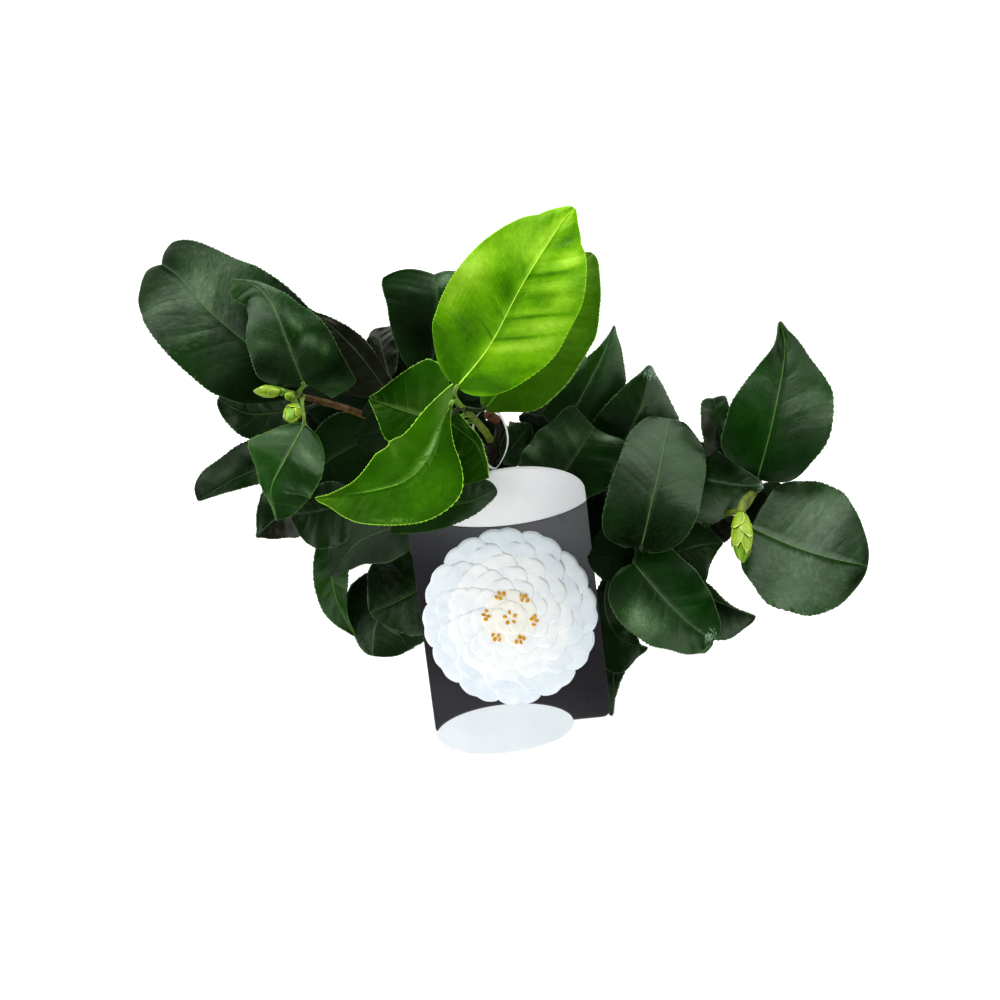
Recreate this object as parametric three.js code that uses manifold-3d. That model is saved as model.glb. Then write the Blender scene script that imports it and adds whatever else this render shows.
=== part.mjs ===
// Young camellia shrub, rooted: one main stem from a flat cut at ground level,
// tapering boughs, and the leaf masses that they carry, each an uneven solid
// with one lobe for each of its outer leaves. A printed card hangs from the
// stem on a narrow strap.
// Millimetres, +Z up. Origin at the centre of the flat cut under the stem.
import * as THREE from 'three';
import { mergeVertices } from 'three/addons/utils/BufferGeometryUtils.js';
import Module from 'manifold-3d';

const wasm = await Module();
wasm.setup();

// ---------------------------------------------------------------- sizes
const GAP = 0.35;                 // clearance left between neighbouring solids

const STEM_FOOT_RADIUS = 4.8;     // main stem just above its flare
const STEM_TOP_RADIUS = 1.7;      // where it enters the top mass
const FLARE_RADIUS = 3.2;         // added to the radius at the ground
const FLARE_HEIGHT = 9;           // height over which the flare dies away
const STEM_LEAN = [               // centre line: x, y, z
  [0, 0, 0], [1.5, -2, 45], [-1, -2, 95], [-4, 3, 180],
  [-4, -1, 262], [-10, -1, 285], [-17, -2, 306],
];
const STEM_RINGS = 18;
const STEM_SIDES = 10;

const BOUGH_ROOT_RADIUS = 2.7;    // at the main stem
const BOUGH_TIP_RADIUS = 1.25;    // where it enters its mass
const BOUGH_SIDES = 6;
const BOUGH_RINGS = 8;

const FACET_DETAIL = 4;           // 20 * (detail + 1)^2 facets on an outer mass
const LOW_FACET_DETAIL = 3;       // and on one of the masses low down and inside
const LOBE_BLEND = 9;             // higher is a sharper crease between lobes
const ROUGHNESS_MM = 1.1;         // unevenness of a mass between its lobes

const CARD_WIDTH = 77.3;
const CARD_BODY = 105.6;            // straight part, without the oval ends
const CARD_THICK = 1.0;
const CARD_CORNER = 3.5;
const CARD_CENTRE = [4.3, -66.4, 224.4];
const CARD_SLOPE = 36;            // degrees below level, towards the front
const CARD_YAW = 6.8;             // degrees turned in its own plane
const TOP_OVAL = { x: 7.6, y: 52, a: 31, b: 13 };
const FOOT_OVAL = { x: -8.2, y: -53.4, a: 30.4, b: 11.3 };

const STRAP_WIDTH = 3.2;
const STRAP_THICK = 0.8;
const STRAP_LOOP = [              // round the stem, from the card and back
  [-2.2, -14.4, 263.6], [1.4, -11.0, 267.2], [3.4, -6.0, 272.0],
  [2.3, 0.4, 276.6], [-1.2, 5.2, 279.4], [-6.2, 6.6, 278.2],
  [-10.4, 4.4, 273.6], [-11.2, -1.6, 268.4], [-8.8, -8.4, 264.6],
];

// Each bough: height where it leaves the stem, then the points that it
// passes on the way to the heart of its mass (x, y, z).
const BOUGHS = {
  bough_left: { from: 118, via: [[-30, 8, 186], [-55, 14, 248]], mass: 'mass_left' },
  bough_left_low: { from: 84, via: [[-27, -13, 146], [-56, -17, 206]], mass: 'mass_left_low' },
  bough_back_left: { from: 176, via: [[-16, 10, 214], [-33, 18, 250]], mass: 'mass_back_left' },
  bough_front_left: { from: 104, via: [[-14, -19, 142], [-30, -31, 186]], mass: 'mass_front_left' },
  bough_centre: { from: 188, via: [[6, -3, 214], [17, -6, 234]], mass: 'mass_centre' },
  bough_right_near: { from: 134, via: [[26, -20, 186], [50, -40, 232]], mass: 'mass_right_near' },
  bough_right: { from: 94, via: [[34, -8, 158], [80, -22, 226]], mass: 'mass_right' },
  bough_front_right: { from: 112, via: [[22, -30, 150], [42, -56, 190]], mass: 'mass_front_right' },
  bough_low_left: { from: 66, via: [[-22, 2, 104], [-42, 7, 136]], mass: 'mass_low_left' },
  bough_low_back_left: { from: 142, via: [[-20, 26, 164], [-40, 47, 184]], mass: 'mass_low_back_left' },
  bough_low_back: { from: 74, via: [[-1, 22, 108], [4, 44, 138]], mass: 'mass_low_back' },
  bough_low_back_right: { from: 126, via: [[20, 18, 152], [50, 34, 180]], mass: 'mass_low_back_right' },
  bough_low_right: { from: 58, via: [[20, -3, 98], [44, -4, 134]], mass: 'mass_low_right' },
  bough_low_front: { from: 48, via: [[3, -14, 78], [4, -28, 110]], mass: 'mass_low_front' },
};

// Each mass: heart, radius of its core, and its lobes, one for each outer
// leaf or spray: bearing (degrees from +X towards +Y), rise above level
// (degrees), reach from the heart, width and depth.
// A mass gives way to those listed before it.
const MASSES = {
  mass_top: { heart: [-17, -2, 306], core: 14, colour: 0x8fbf1f, lobes: [
    [57, 27, 94, 54, 26], [49, -5, 91, 42, 22], [-152, -21, 74, 38, 24],
    [-134, -24, 58, 34, 22], [162, -31, 48, 40, 20], [-68, -28, 33, 24, 18]] },
  mass_left: { heart: [-85, 14, 276], core: 14, colour: 0x24401f, lobes: [
    [129, -3, 93, 52, 26], [140, -5, 90, 44, 24], [121, 15, 58, 36, 24],
    [-102, -24, 54, 38, 24], [171, -38, 46, 28, 20]] },
  mass_right: { heart: [104, -32, 264], core: 13, colour: 0x24401f, lobes: [
    [78, 8, 84, 42, 24], [64, 7, 66, 34, 20], [-34, -2, 61, 54, 24], [-14, -2, 57, 38, 20],
    [150, 5, 24, 28, 18], [113, 15, 50, 16, 16], [-160, -58, 27, 16, 14]] },
  mass_right_near: { heart: [62, -48, 254], core: 13, colour: 0x1f3b1c, lobes: [
    [80, 10, 56, 40, 22], [-56, -1, 51, 38, 22], [12, -17, 38, 30, 18],
    [-22, -29, 62, 24, 18]] },
  mass_back_left: { heart: [-42, 20, 270], core: 12, colour: 0x203a1d, lobes: [
    [138, 0, 56, 26, 22], [112, -10, 36, 20, 18], [86, 33, 51, 30, 20],
    [48, 30, 48, 34, 20]] },
  mass_centre: { heart: [27, -6, 250], core: 12, colour: 0x203a1d, lobes: [
    [67, 17, 62, 26, 20], [42, 22, 56, 32, 20], [30, 18, 54, 26, 18], [12, 24, 32, 34, 20],
    [-40, 8, 24, 26, 18]] },
  mass_left_low: { heart: [-74, -15, 242], core: 14, colour: 0x1d361a, lobes: [
    [174, -9, 60, 26, 20], [-159, -37, 47, 28, 20], [28, 12, 37, 30, 22],
    [-84, -6, 26, 28, 20], [-10, 12, 50, 24, 18]] },
  mass_front_left: { heart: [-38, -34, 208], core: 12, colour: 0x1d361a, lobes: [
    [-169, -12, 42, 28, 20], [-142, -33, 56, 26, 20], [-119, -40, 54, 42, 22],
    [-80, -30, 34, 34, 20]] },
  mass_front_right: { heart: [49, -64, 208], core: 9, colour: 0x1b3318, lobes: [
    [-90, -46, 50, 18, 16], [-42, -4, 22, 22, 16]] },
  mass_low_back_left: { heart: [-54, 46, 186], core: 22, low: true, colour: 0x1a3217, lobes: [
    [146, 0, 60, 46, 30], [174, -26, 54, 44, 28], [98, -26, 50, 42, 28],
    [64, -34, 50, 42, 28], [-175, 26, 44, 38, 26], [50, 4, 42, 38, 26]] },
  mass_low_back_right: { heart: [58, 26, 174], core: 21, low: true, colour: 0x1a3217, lobes: [
    [42, -22, 56, 44, 28], [84, -28, 52, 44, 28], [12, -22, 58, 42, 28],
    [112, 2, 42, 38, 26], [4, 10, 50, 36, 24]] },
  mass_low_left: { heart: [-52, 8, 148], core: 24, low: true, colour: 0x1a3217, lobes: [
    [180, 4, 57, 48, 32], [150, -22, 56, 46, 30], [-152, -16, 48, 44, 30],
    [122, 14, 48, 44, 30], [-104, -28, 44, 40, 28], [-168, 38, 48, 40, 28]] },
  mass_low_right: { heart: [56, -4, 148], core: 24, low: true, colour: 0x1a3217, lobes: [
    [0, 2, 62, 48, 32], [36, -20, 56, 46, 30], [-32, -14, 54, 44, 30],
    [18, 36, 50, 42, 30], [-66, -30, 44, 40, 28]] },
  mass_low_back: { heart: [6, 56, 142], core: 24, low: true, colour: 0x1a3217, lobes: [
    [90, -8, 58, 48, 30], [52, -26, 52, 44, 28], [128, -26, 52, 44, 28],
    [84, 34, 50, 44, 30], [14, -16, 42, 40, 28], [168, -10, 44, 40, 28]] },
  mass_low_front: { heart: [4, -38, 132], core: 21, low: true, colour: 0x1a3217, lobes: [
    [-90, -2, 50, 46, 30], [-46, -16, 50, 42, 28], [-136, -16, 50, 42, 28],
    [-68, 34, 46, 38, 26], [-114, 32, 46, 38, 26]] },
};

// ---------------------------------------------------------------- helpers
const rad = THREE.MathUtils.degToRad;
const V = (p) => new THREE.Vector3(...p);

// A closed indexed geometry from vertices and triangles.
function geometry(vertices, triangles) {
  const g = new THREE.BufferGeometry();
  g.setAttribute('position', new THREE.Float32BufferAttribute(vertices.flat(), 3));
  g.setIndex(triangles.flat());
  return g;
}

function toSolid(g) {
  const bare = g.clone();
  for (const name of Object.keys(bare.attributes)) {
    if (name !== 'position') bare.deleteAttribute(name);
  }
  const m = mergeVertices(bare, 1e-4);
  return new wasm.Manifold(new wasm.Mesh({
    numProp: 3,
    vertProperties: new Float32Array(m.attributes.position.array),
    triVerts: new Uint32Array(m.index.array),
  }));
}

function fromSolid(solid) {
  const mesh = solid.getMesh();
  const g = new THREE.BufferGeometry();
  g.setAttribute('position', new THREE.BufferAttribute(new Float32Array(mesh.vertProperties), 3));
  g.setIndex(new THREE.BufferAttribute(new Uint32Array(mesh.triVerts), 1));
  return g;
}

// The largest piece left after a cut.
function largest(solid) {
  const pieces = solid.decompose();
  let best = pieces[0];
  for (const p of pieces) if (p.volume() > best.volume()) best = p;
  return best;
}

// A tapering limb: rings round a smooth centre line, closed by a fan at
// each end. radius(t) gives its radius, level(t) whether a ring lies level.
function limb(points, radius, rings, sides, levelFoot = false) {
  const line = new THREE.CatmullRomCurve3(points.map(V), false, 'centripetal');
  const vertices = [];
  const triangles = [];
  let side = new THREE.Vector3(1, 0, 0);
  for (let i = 0; i <= rings; i++) {
    const t = levelFoot ? Math.pow(i / rings, 1.5) : i / rings;
    const at = line.getPointAt(t);
    const along = levelFoot && i === 0 ? new THREE.Vector3(0, 0, 1) : line.getTangentAt(t);
    side.sub(along.clone().multiplyScalar(side.dot(along))).normalize();
    const other = along.clone().cross(side);
    for (let k = 0; k < sides; k++) {
      const a = (2 * Math.PI * k) / sides;
      const p = at.clone()
        .add(side.clone().multiplyScalar(Math.cos(a) * radius(t, at.z)))
        .add(other.clone().multiplyScalar(Math.sin(a) * radius(t, at.z)));
      vertices.push(p.toArray());
    }
  }
  for (let i = 0; i < rings; i++) {
    for (let k = 0; k < sides; k++) {
      const a = i * sides + k;
      const b = i * sides + ((k + 1) % sides);
      triangles.push([a, b, b + sides], [a, b + sides, a + sides]);
    }
  }
  const foot = vertices.push(line.getPointAt(0).toArray()) - 1;
  const top = vertices.push(line.getPointAt(1).toArray()) - 1;
  for (let k = 0; k < sides; k++) {
    triangles.push([foot, (k + 1) % sides, k]);
    triangles.push([top, rings * sides + k, rings * sides + ((k + 1) % sides)]);
  }
  return geometry(vertices, triangles);
}

// Distance from the heart of a mass to its surface in one direction: the
// core and the lobes, each an ellipsoid that touches the heart, blended.
function reachOf(mass, dir, index) {
  let sum = Math.pow(mass.core, LOBE_BLEND);
  for (const [bearing, rise, reach, width, depth] of mass.lobes) {
    const b = rad(bearing);
    const e = rad(rise);
    const along = new THREE.Vector3(Math.cos(b) * Math.cos(e), Math.sin(b) * Math.cos(e), Math.sin(e));
    const across = new THREE.Vector3(-Math.sin(b), Math.cos(b), 0);
    const up = along.clone().cross(across);
    const x = dir.dot(along) / (reach / 2);
    const y = dir.dot(across) / (width / 2);
    const z = dir.dot(up) / (depth / 2);
    if (x > 0) {
      const r = (2 * x / (reach / 2)) * (reach / 2) / (x * x + y * y + z * z);
      sum += Math.pow(r, LOBE_BLEND);
    }
  }
  const uneven = ROUGHNESS_MM * Math.sin(index * 12.9898) * Math.cos(index * 4.137);
  return Math.pow(sum, 1 / LOBE_BLEND) + uneven;
}

function massSolid(mass, grow) {
  const ball = new THREE.IcosahedronGeometry(1, mass.low ? LOW_FACET_DETAIL : FACET_DETAIL);
  ball.deleteAttribute('normal');
  ball.deleteAttribute('uv');
  const g = mergeVertices(ball, 1e-5);
  const p = g.attributes.position;
  // one vertex turned to the tip of each lobe, so that the tip is reached
  const taken = new Set();
  for (const [bearing, rise] of mass.lobes) {
    const b = rad(bearing);
    const e = rad(rise);
    const tip = new THREE.Vector3(Math.cos(b) * Math.cos(e), Math.sin(b) * Math.cos(e), Math.sin(e));
    let best = -1;
    let near = -2;
    for (let i = 0; i < p.count; i++) {
      const d = new THREE.Vector3().fromBufferAttribute(p, i).dot(tip);
      if (d > near && !taken.has(i)) { near = d; best = i; }
    }
    taken.add(best);
    p.setXYZ(best, tip.x, tip.y, tip.z);
  }
  for (let i = 0; i < p.count; i++) {
    const dir = new THREE.Vector3().fromBufferAttribute(p, i).normalize();
    const r = reachOf(mass, dir, taken.has(i) ? 0 : i) + grow;
    dir.multiplyScalar(r).add(V(mass.heart));
    p.setXYZ(i, dir.x, dir.y, dir.z);
  }
  return toSolid(g);
}

// ---------------------------------------------------------------- stem and boughs
const stemLine = new THREE.CatmullRomCurve3(STEM_LEAN.map(V), false, 'centripetal');
const stemHeight = STEM_LEAN[STEM_LEAN.length - 1][2];
const stemRadius = (grow) => (t, z) =>
  STEM_FOOT_RADIUS + (STEM_TOP_RADIUS - STEM_FOOT_RADIUS) * (z / stemHeight)
  + FLARE_RADIUS * Math.exp(-z / FLARE_HEIGHT) + grow;
const stemSolid = (grow) => toSolid(limb(STEM_LEAN, stemRadius(grow), STEM_RINGS, STEM_SIDES, true));

// The stem's centre at a height, by halving.
function stemAt(z) {
  let lo = 0;
  let hi = 1;
  for (let i = 0; i < 40; i++) {
    const mid = (lo + hi) / 2;
    if (stemLine.getPointAt(mid).z < z) lo = mid; else hi = mid;
  }
  return stemLine.getPointAt(lo);
}

function boughSolid(bough, grow) {
  const heart = MASSES[bough.mass].heart;
  const points = [stemAt(bough.from).toArray(), ...bough.via, heart];
  const radius = (t) => BOUGH_ROOT_RADIUS + (BOUGH_TIP_RADIUS - BOUGH_ROOT_RADIUS) * t + grow;
  return toSolid(limb(points, radius, BOUGH_RINGS, BOUGH_SIDES));
}

// ---------------------------------------------------------------- card and strap
function cardOutline(grow) {
  const w = CARD_WIDTH / 2;
  const h = CARD_BODY / 2;
  const c = CARD_CORNER;
  const arc = (o, x) => (Math.abs(x - o.x) < o.a ? Math.sqrt(1 - ((x - o.x) / o.a) ** 2) * o.b : -1e3);
  const outline = [];
  const steps = 20;
  const corner = (x) => {
    const d = Math.abs(x) - (w - c);
    return d > 0 ? c - Math.sqrt(Math.max(0, c * c - d * d)) : 0;
  };
  for (let i = 0; i <= steps; i++) {
    const x = -w + (2 * w * i) / steps;
    outline.push([x, Math.min(-h + corner(x), FOOT_OVAL.y - arc(FOOT_OVAL, x))]);
  }
  for (let i = steps; i >= 0; i--) {
    const x = -w + (2 * w * i) / steps;
    outline.push([x, Math.max(h - corner(x), TOP_OVAL.y + arc(TOP_OVAL, x))]);
  }
  const s = 1 + grow / w;
  return new THREE.Shape(outline.map(([x, y]) => new THREE.Vector2(x * s, y * s)));
}

function cardGeometry(grow) {
  const depth = CARD_THICK + 2 * grow;
  const g = new THREE.ExtrudeGeometry(cardOutline(grow), { depth, bevelEnabled: false });
  g.translate(0, 0, -depth / 2);
  return g;
}

// Card frame: x to the right, y up its slope, z out of its printed face.
const cardPlace = new THREE.Matrix4()
  .makeTranslation(...CARD_CENTRE)
  .multiply(new THREE.Matrix4().makeRotationX(rad(CARD_SLOPE)))
  .multiply(new THREE.Matrix4().makeRotationZ(rad(CARD_YAW)));

// A flat band swept round the stem as one closed ring.
function strapGeometry(grow) {
  const line = new THREE.CatmullRomCurve3(STRAP_LOOP.map(V), true, 'centripetal');
  const middle = STRAP_LOOP.reduce((s, p) => s.add(V(p)), new THREE.Vector3()).multiplyScalar(1 / STRAP_LOOP.length);
  const steps = 18;
  const vertices = [];
  const triangles = [];
  for (let i = 0; i < steps; i++) {
    const at = line.getPointAt(i / steps);
    const along = line.getTangentAt(i / steps);
    const out = at.clone().sub(middle);
    out.sub(along.clone().multiplyScalar(out.dot(along))).normalize();
    const up = along.clone().cross(out).normalize();
    const t = STRAP_THICK / 2 + grow;
    const w = STRAP_WIDTH / 2 + grow;
    for (const [a, b] of [[-t, -w], [t, -w], [t, w], [-t, w]]) {
      vertices.push(at.clone().add(out.clone().multiplyScalar(a)).add(up.clone().multiplyScalar(b)).toArray());
    }
  }
  for (let i = 0; i < steps; i++) {
    const j = (i + 1) % steps;
    for (let k = 0; k < 4; k++) {
      const l = (k + 1) % 4;
      triangles.push([i * 4 + k, i * 4 + l, j * 4 + l], [i * 4 + k, j * 4 + l, j * 4 + k]);
    }
  }
  const g = geometry(vertices, triangles);
  return g;
}

// ---------------------------------------------------------------- assembly
const bark = new THREE.MeshStandardMaterial({ color: 0x6b5a3c, roughness: 0.85, metalness: 0 });
const white = new THREE.MeshStandardMaterial({ color: 0xe9ebec, roughness: 0.45, metalness: 0 });

const group = new THREE.Group();
group.name = 'camellia_shrub';
function add(name, g, material) {
  g.computeVertexNormals();
  const mesh = new THREE.Mesh(g, material);
  mesh.name = name;
  group.add(mesh);
  return mesh;
}

const strapGrown = toSolid(strapGeometry(0.9));
const cardGrown = toSolid(cardGeometry(GAP + 0.5).applyMatrix4(cardPlace));

// main stem, up to where it enters the top mass
const topGrown = massSolid(MASSES.mass_top, GAP);
add('stem', fromSolid(largest(stemSolid(0).subtract(topGrown))), bark);

// boughs, from the stem to where each enters its own mass
const stemGrown = stemSolid(GAP);
const limbs = [];
for (const [name, bough] of Object.entries(BOUGHS)) {
  let solid = boughSolid(bough, 0).subtract(stemGrown);
  solid = solid.subtract(massSolid(MASSES[bough.mass], GAP));
  for (const other of limbs) solid = solid.subtract(other.grown);
  solid = solid.subtract(cardGrown);
  add(name, fromSolid(largest(solid)), bark);
  limbs.push({ mass: bough.mass, grown: boughSolid(bough, GAP) });
}

// masses, each cut round the stem, the boughs that pass it, the card and
// the masses before it
const placed = [];
for (const [name, mass] of Object.entries(MASSES)) {
  let solid = massSolid(mass, 0);
  if (name !== 'mass_top') solid = solid.subtract(stemGrown);
  for (const l of limbs) if (l.mass !== mass && MASSES[l.mass] !== mass) solid = solid.subtract(l.grown);
  solid = solid.subtract(cardGrown).subtract(strapGrown);
  for (const before of placed) solid = solid.subtract(before);
  solid = largest(solid);
  placed.push(massSolid(mass, GAP));
  add(name, fromSolid(solid), new THREE.MeshStandardMaterial({ color: mass.colour, roughness: 0.5, metalness: 0 }));
}

const card = add('tag_card', cardGeometry(0), white);
card.applyMatrix4(cardPlace);
add('tag_strap', fromSolid(toSolid(strapGeometry(0)).subtract(cardGrown)), white);

export default group;
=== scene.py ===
import math
import random

import bpy
import numpy as np
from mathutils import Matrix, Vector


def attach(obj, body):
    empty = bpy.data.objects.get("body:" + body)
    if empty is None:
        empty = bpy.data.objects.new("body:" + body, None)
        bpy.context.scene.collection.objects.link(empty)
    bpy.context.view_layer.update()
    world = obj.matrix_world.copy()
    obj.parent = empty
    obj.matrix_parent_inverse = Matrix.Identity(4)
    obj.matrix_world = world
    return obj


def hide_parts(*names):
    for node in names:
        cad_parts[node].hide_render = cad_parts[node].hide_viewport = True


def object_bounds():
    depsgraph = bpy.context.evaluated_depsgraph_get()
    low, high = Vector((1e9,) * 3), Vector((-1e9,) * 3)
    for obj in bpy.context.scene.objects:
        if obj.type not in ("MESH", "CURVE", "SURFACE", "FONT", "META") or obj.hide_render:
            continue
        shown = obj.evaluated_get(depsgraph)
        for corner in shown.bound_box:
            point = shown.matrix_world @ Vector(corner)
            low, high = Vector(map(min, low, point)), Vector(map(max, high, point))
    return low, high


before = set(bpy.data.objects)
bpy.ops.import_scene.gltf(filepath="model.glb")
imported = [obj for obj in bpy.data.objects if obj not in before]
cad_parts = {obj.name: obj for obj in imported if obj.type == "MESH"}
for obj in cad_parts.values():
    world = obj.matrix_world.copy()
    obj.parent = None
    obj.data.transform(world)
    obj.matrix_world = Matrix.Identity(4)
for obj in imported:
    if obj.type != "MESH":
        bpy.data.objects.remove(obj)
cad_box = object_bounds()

TAU = 2 * math.pi
rng = random.Random(1871)

# ------------------------------------------------------------------ camera
ELEVATION = math.radians(70)
DISTANCE = 1000.0
SCALE = 0.43                                   # mm to a pixel at the target
TARGET = np.array([0.15, -24.2, 251.2])
NEAR = np.array([0.0, -math.cos(ELEVATION), math.sin(ELEVATION)])
RIGHT = np.array([1.0, 0.0, 0.0])
UPWARD = np.array([0.0, math.sin(ELEVATION), math.cos(ELEVATION)])
EYE = TARGET + NEAR * DISTANCE


def at_height(u, v, z):
    """The point at height z that the frame's point (u, v) looks at."""
    u, v, z = np.broadcast_arrays(np.asarray(u, float), np.asarray(v, float), np.asarray(z, float))
    d = -NEAR + RIGHT * ((u - 500) * SCALE / DISTANCE)[..., None] + UPWARD * ((500 - v) * SCALE / DISTANCE)[..., None]
    k = (z - EYE[2]) / d[..., 2]
    return EYE + d * k[..., None]


def seen(P):
    """Where a point falls in the frame, and its depth."""
    q = np.asarray(P, float) - TARGET
    depth = DISTANCE - q @ NEAR
    return 500 + (q @ RIGHT) * DISTANCE / depth / SCALE, 500 - (q @ UPWARD) * DISTANCE / depth / SCALE, depth


# ------------------------------------------------------------------ small maths
def unit(v):
    v = np.asarray(v, float)
    n = np.linalg.norm(v, axis=-1, keepdims=True)
    return v / np.maximum(n, 1e-9)


def smooth(a, b, x):
    x = np.clip((np.asarray(x, float) - a) / (b - a), 0, 1)
    return x * x * (3 - 2 * x)


def spline(points, n, closed=False):
    """A centripetal Catmull-Rom curve through the points, at n even steps."""
    p = [np.array(q, float) for q in points]
    if closed:
        p = [p[-1]] + p + [p[0], p[1]]
    else:
        p = [2 * p[0] - p[1]] + p + [2 * p[-1] - p[-2]]
    dense = []
    for i in range(1, len(p) - 2):
        a, b, c, d = p[i - 1], p[i], p[i + 1], p[i + 2]
        t0 = 0.0
        t1 = t0 + max(np.linalg.norm(b - a), 1e-6) ** 0.5
        t2 = t1 + max(np.linalg.norm(c - b), 1e-6) ** 0.5
        t3 = t2 + max(np.linalg.norm(d - c), 1e-6) ** 0.5
        for k in range(24):
            t = t1 + (t2 - t1) * k / 24
            a1 = (t1 - t) / (t1 - t0) * a + (t - t0) / (t1 - t0) * b
            a2 = (t2 - t) / (t2 - t1) * b + (t - t1) / (t2 - t1) * c
            a3 = (t3 - t) / (t3 - t2) * c + (t - t2) / (t3 - t2) * d
            b1 = (t2 - t) / (t2 - t0) * a1 + (t - t0) / (t2 - t0) * a2
            b2 = (t3 - t) / (t3 - t1) * a2 + (t - t1) / (t3 - t1) * a3
            dense.append((t2 - t) / (t2 - t1) * b1 + (t - t1) / (t2 - t1) * b2)
    dense.append(p[-2])
    dense = np.array(dense)
    run = np.r_[0, np.cumsum(np.linalg.norm(np.diff(dense, axis=0), axis=1))]
    want = np.linspace(0, run[-1], n + 1 if closed else n)
    if closed:
        want = want[:-1]
    return np.stack([np.interp(want, run, dense[:, k]) for k in range(3)], 1)


def length_of(line):
    return float(np.linalg.norm(np.diff(line, axis=0), axis=1).sum())


# ------------------------------------------------------------------ meshes
class Batch:
    """Many small things gathered into one mesh."""

    def __init__(self):
        self.V, self.F4, self.M4, self.F3, self.M3, self.n = [], [], [], [], [], 0

    def add(self, V, F4=None, M4=None, F3=None, M3=None):
        if F4 is not None and len(F4):
            self.F4.append(np.asarray(F4, int) + self.n)
            self.M4.append(np.broadcast_to(np.asarray(M4, int), (len(F4),)))
        if F3 is not None and len(F3):
            self.F3.append(np.asarray(F3, int) + self.n)
            self.M3.append(np.broadcast_to(np.asarray(M3, int), (len(F3),)))
        self.V.append(np.asarray(V, float))
        self.n += len(V)

    def triangles(self):
        return 2 * sum(len(f) for f in self.F4) + sum(len(f) for f in self.F3)

    def build(self, name, materials):
        V = np.concatenate(self.V) / 1000.0
        F4 = np.concatenate(self.F4) if self.F4 else np.zeros((0, 4), int)
        F3 = np.concatenate(self.F3) if self.F3 else np.zeros((0, 3), int)
        M = np.concatenate([np.concatenate(self.M4) if self.M4 else np.zeros(0, int),
                            np.concatenate(self.M3) if self.M3 else np.zeros(0, int)])
        used = sorted(set(M.tolist()))
        slot_of = {m: i for i, m in enumerate(used)}
        M = np.array([slot_of[m] for m in used])[np.searchsorted(used, M)]
        mesh = bpy.data.meshes.new(name)
        mesh.vertices.add(len(V))
        mesh.vertices.foreach_set("co", V.astype(np.float32).ravel())
        loops = np.concatenate([F4.ravel(), F3.ravel()]).astype(np.int32)
        mesh.loops.add(len(loops))
        mesh.loops.foreach_set("vertex_index", loops)
        starts = np.concatenate([np.arange(len(F4)) * 4, len(F4) * 4 + np.arange(len(F3)) * 3]).astype(np.int32)
        mesh.polygons.add(len(starts))
        mesh.polygons.foreach_set("loop_start", starts)
        for m in used:
            mesh.materials.append(materials[m])
        mesh.polygons.foreach_set("material_index", M.astype(np.int32))
        mesh.polygons.foreach_set("use_smooth", np.ones(len(starts), bool))
        mesh.update(calc_edges=True)
        mesh.validate()
        obj = bpy.data.objects.new(name, mesh)
        bpy.context.scene.collection.objects.link(obj)
        return obj


def grid_faces(rows, cols, flip=False, wrap=False):
    i, j = np.meshgrid(np.arange(rows - 1), np.arange(cols if wrap else cols - 1), indexing="ij")
    k = (j + 1) % cols
    a, b, c, d = i * cols + j, i * cols + k, (i + 1) * cols + k, (i + 1) * cols + j
    F = np.stack([a, b, c, d], -1)
    return F[..., ::-1] if flip else F


def tube(batch, line, radius, sides, mat, relief=None, foot=True):
    """A limb round a centre line. radius: one for each point. mat: one, or one for each ring."""
    n = len(line)
    tan = unit(np.gradient(line, axis=0))
    side = np.zeros((n, 3))
    s = np.cross(tan[0], [0.13, 0.97, 0.21])
    for i in range(n):
        s = s - tan[i] * (s @ tan[i])
        s = s / np.linalg.norm(s)
        side[i] = s
    other = np.cross(tan, side)
    a = np.arange(sides) * TAU / sides
    r = np.broadcast_to(np.asarray(radius, float)[:, None], (n, sides)).copy()
    if relief is not None:
        run = np.r_[0, np.cumsum(np.linalg.norm(np.diff(line, axis=0), axis=1))]
        r += relief(run[:, None], a[None, :], r)
    V = line[:, None] + side[:, None] * (np.cos(a)[None, :, None] * r[..., None]) + other[:, None] * (np.sin(a)[None, :, None] * r[..., None])
    V = V.reshape(-1, 3)
    F = grid_faces(n, sides, wrap=True)
    M = np.broadcast_to(np.asarray(mat, int), (n,))[:-1]
    M = np.repeat(M, sides)
    V = np.concatenate([V, line[:1], line[-1:]])
    k = np.arange(sides)
    caps = [np.stack([np.full(sides, n * sides + 1), (n - 1) * sides + k, (n - 1) * sides + (k + 1) % sides], 1)]
    caps.append(np.stack([np.full(sides, n * sides), (k + 1) % sides, k], 1))
    batch.add(V, F.reshape(-1, 4), M, np.concatenate(caps), int(M[-1]))


# ------------------------------------------------------------------ materials
def lin(r, g, b):
    def f(c):
        c /= 255.0
        return c / 12.92 if c <= 0.04045 else ((c + 0.055) / 1.055) ** 2.4
    return (f(r), f(g), f(b), 1.0)


MATERIALS = []
SLOT = {}


def material(name, build):
    m = bpy.data.materials.new(name)
    m.use_nodes = True
    nodes, links = m.node_tree.nodes, m.node_tree.links
    nodes.clear()
    out = nodes.new("ShaderNodeOutputMaterial")
    bsdf = nodes.new("ShaderNodeBsdfPrincipled")
    links.new(bsdf.outputs[0], out.inputs[0])
    build(nodes, links, bsdf)
    SLOT[name] = len(MATERIALS)
    MATERIALS.append(m)
    return SLOT[name]


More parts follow.
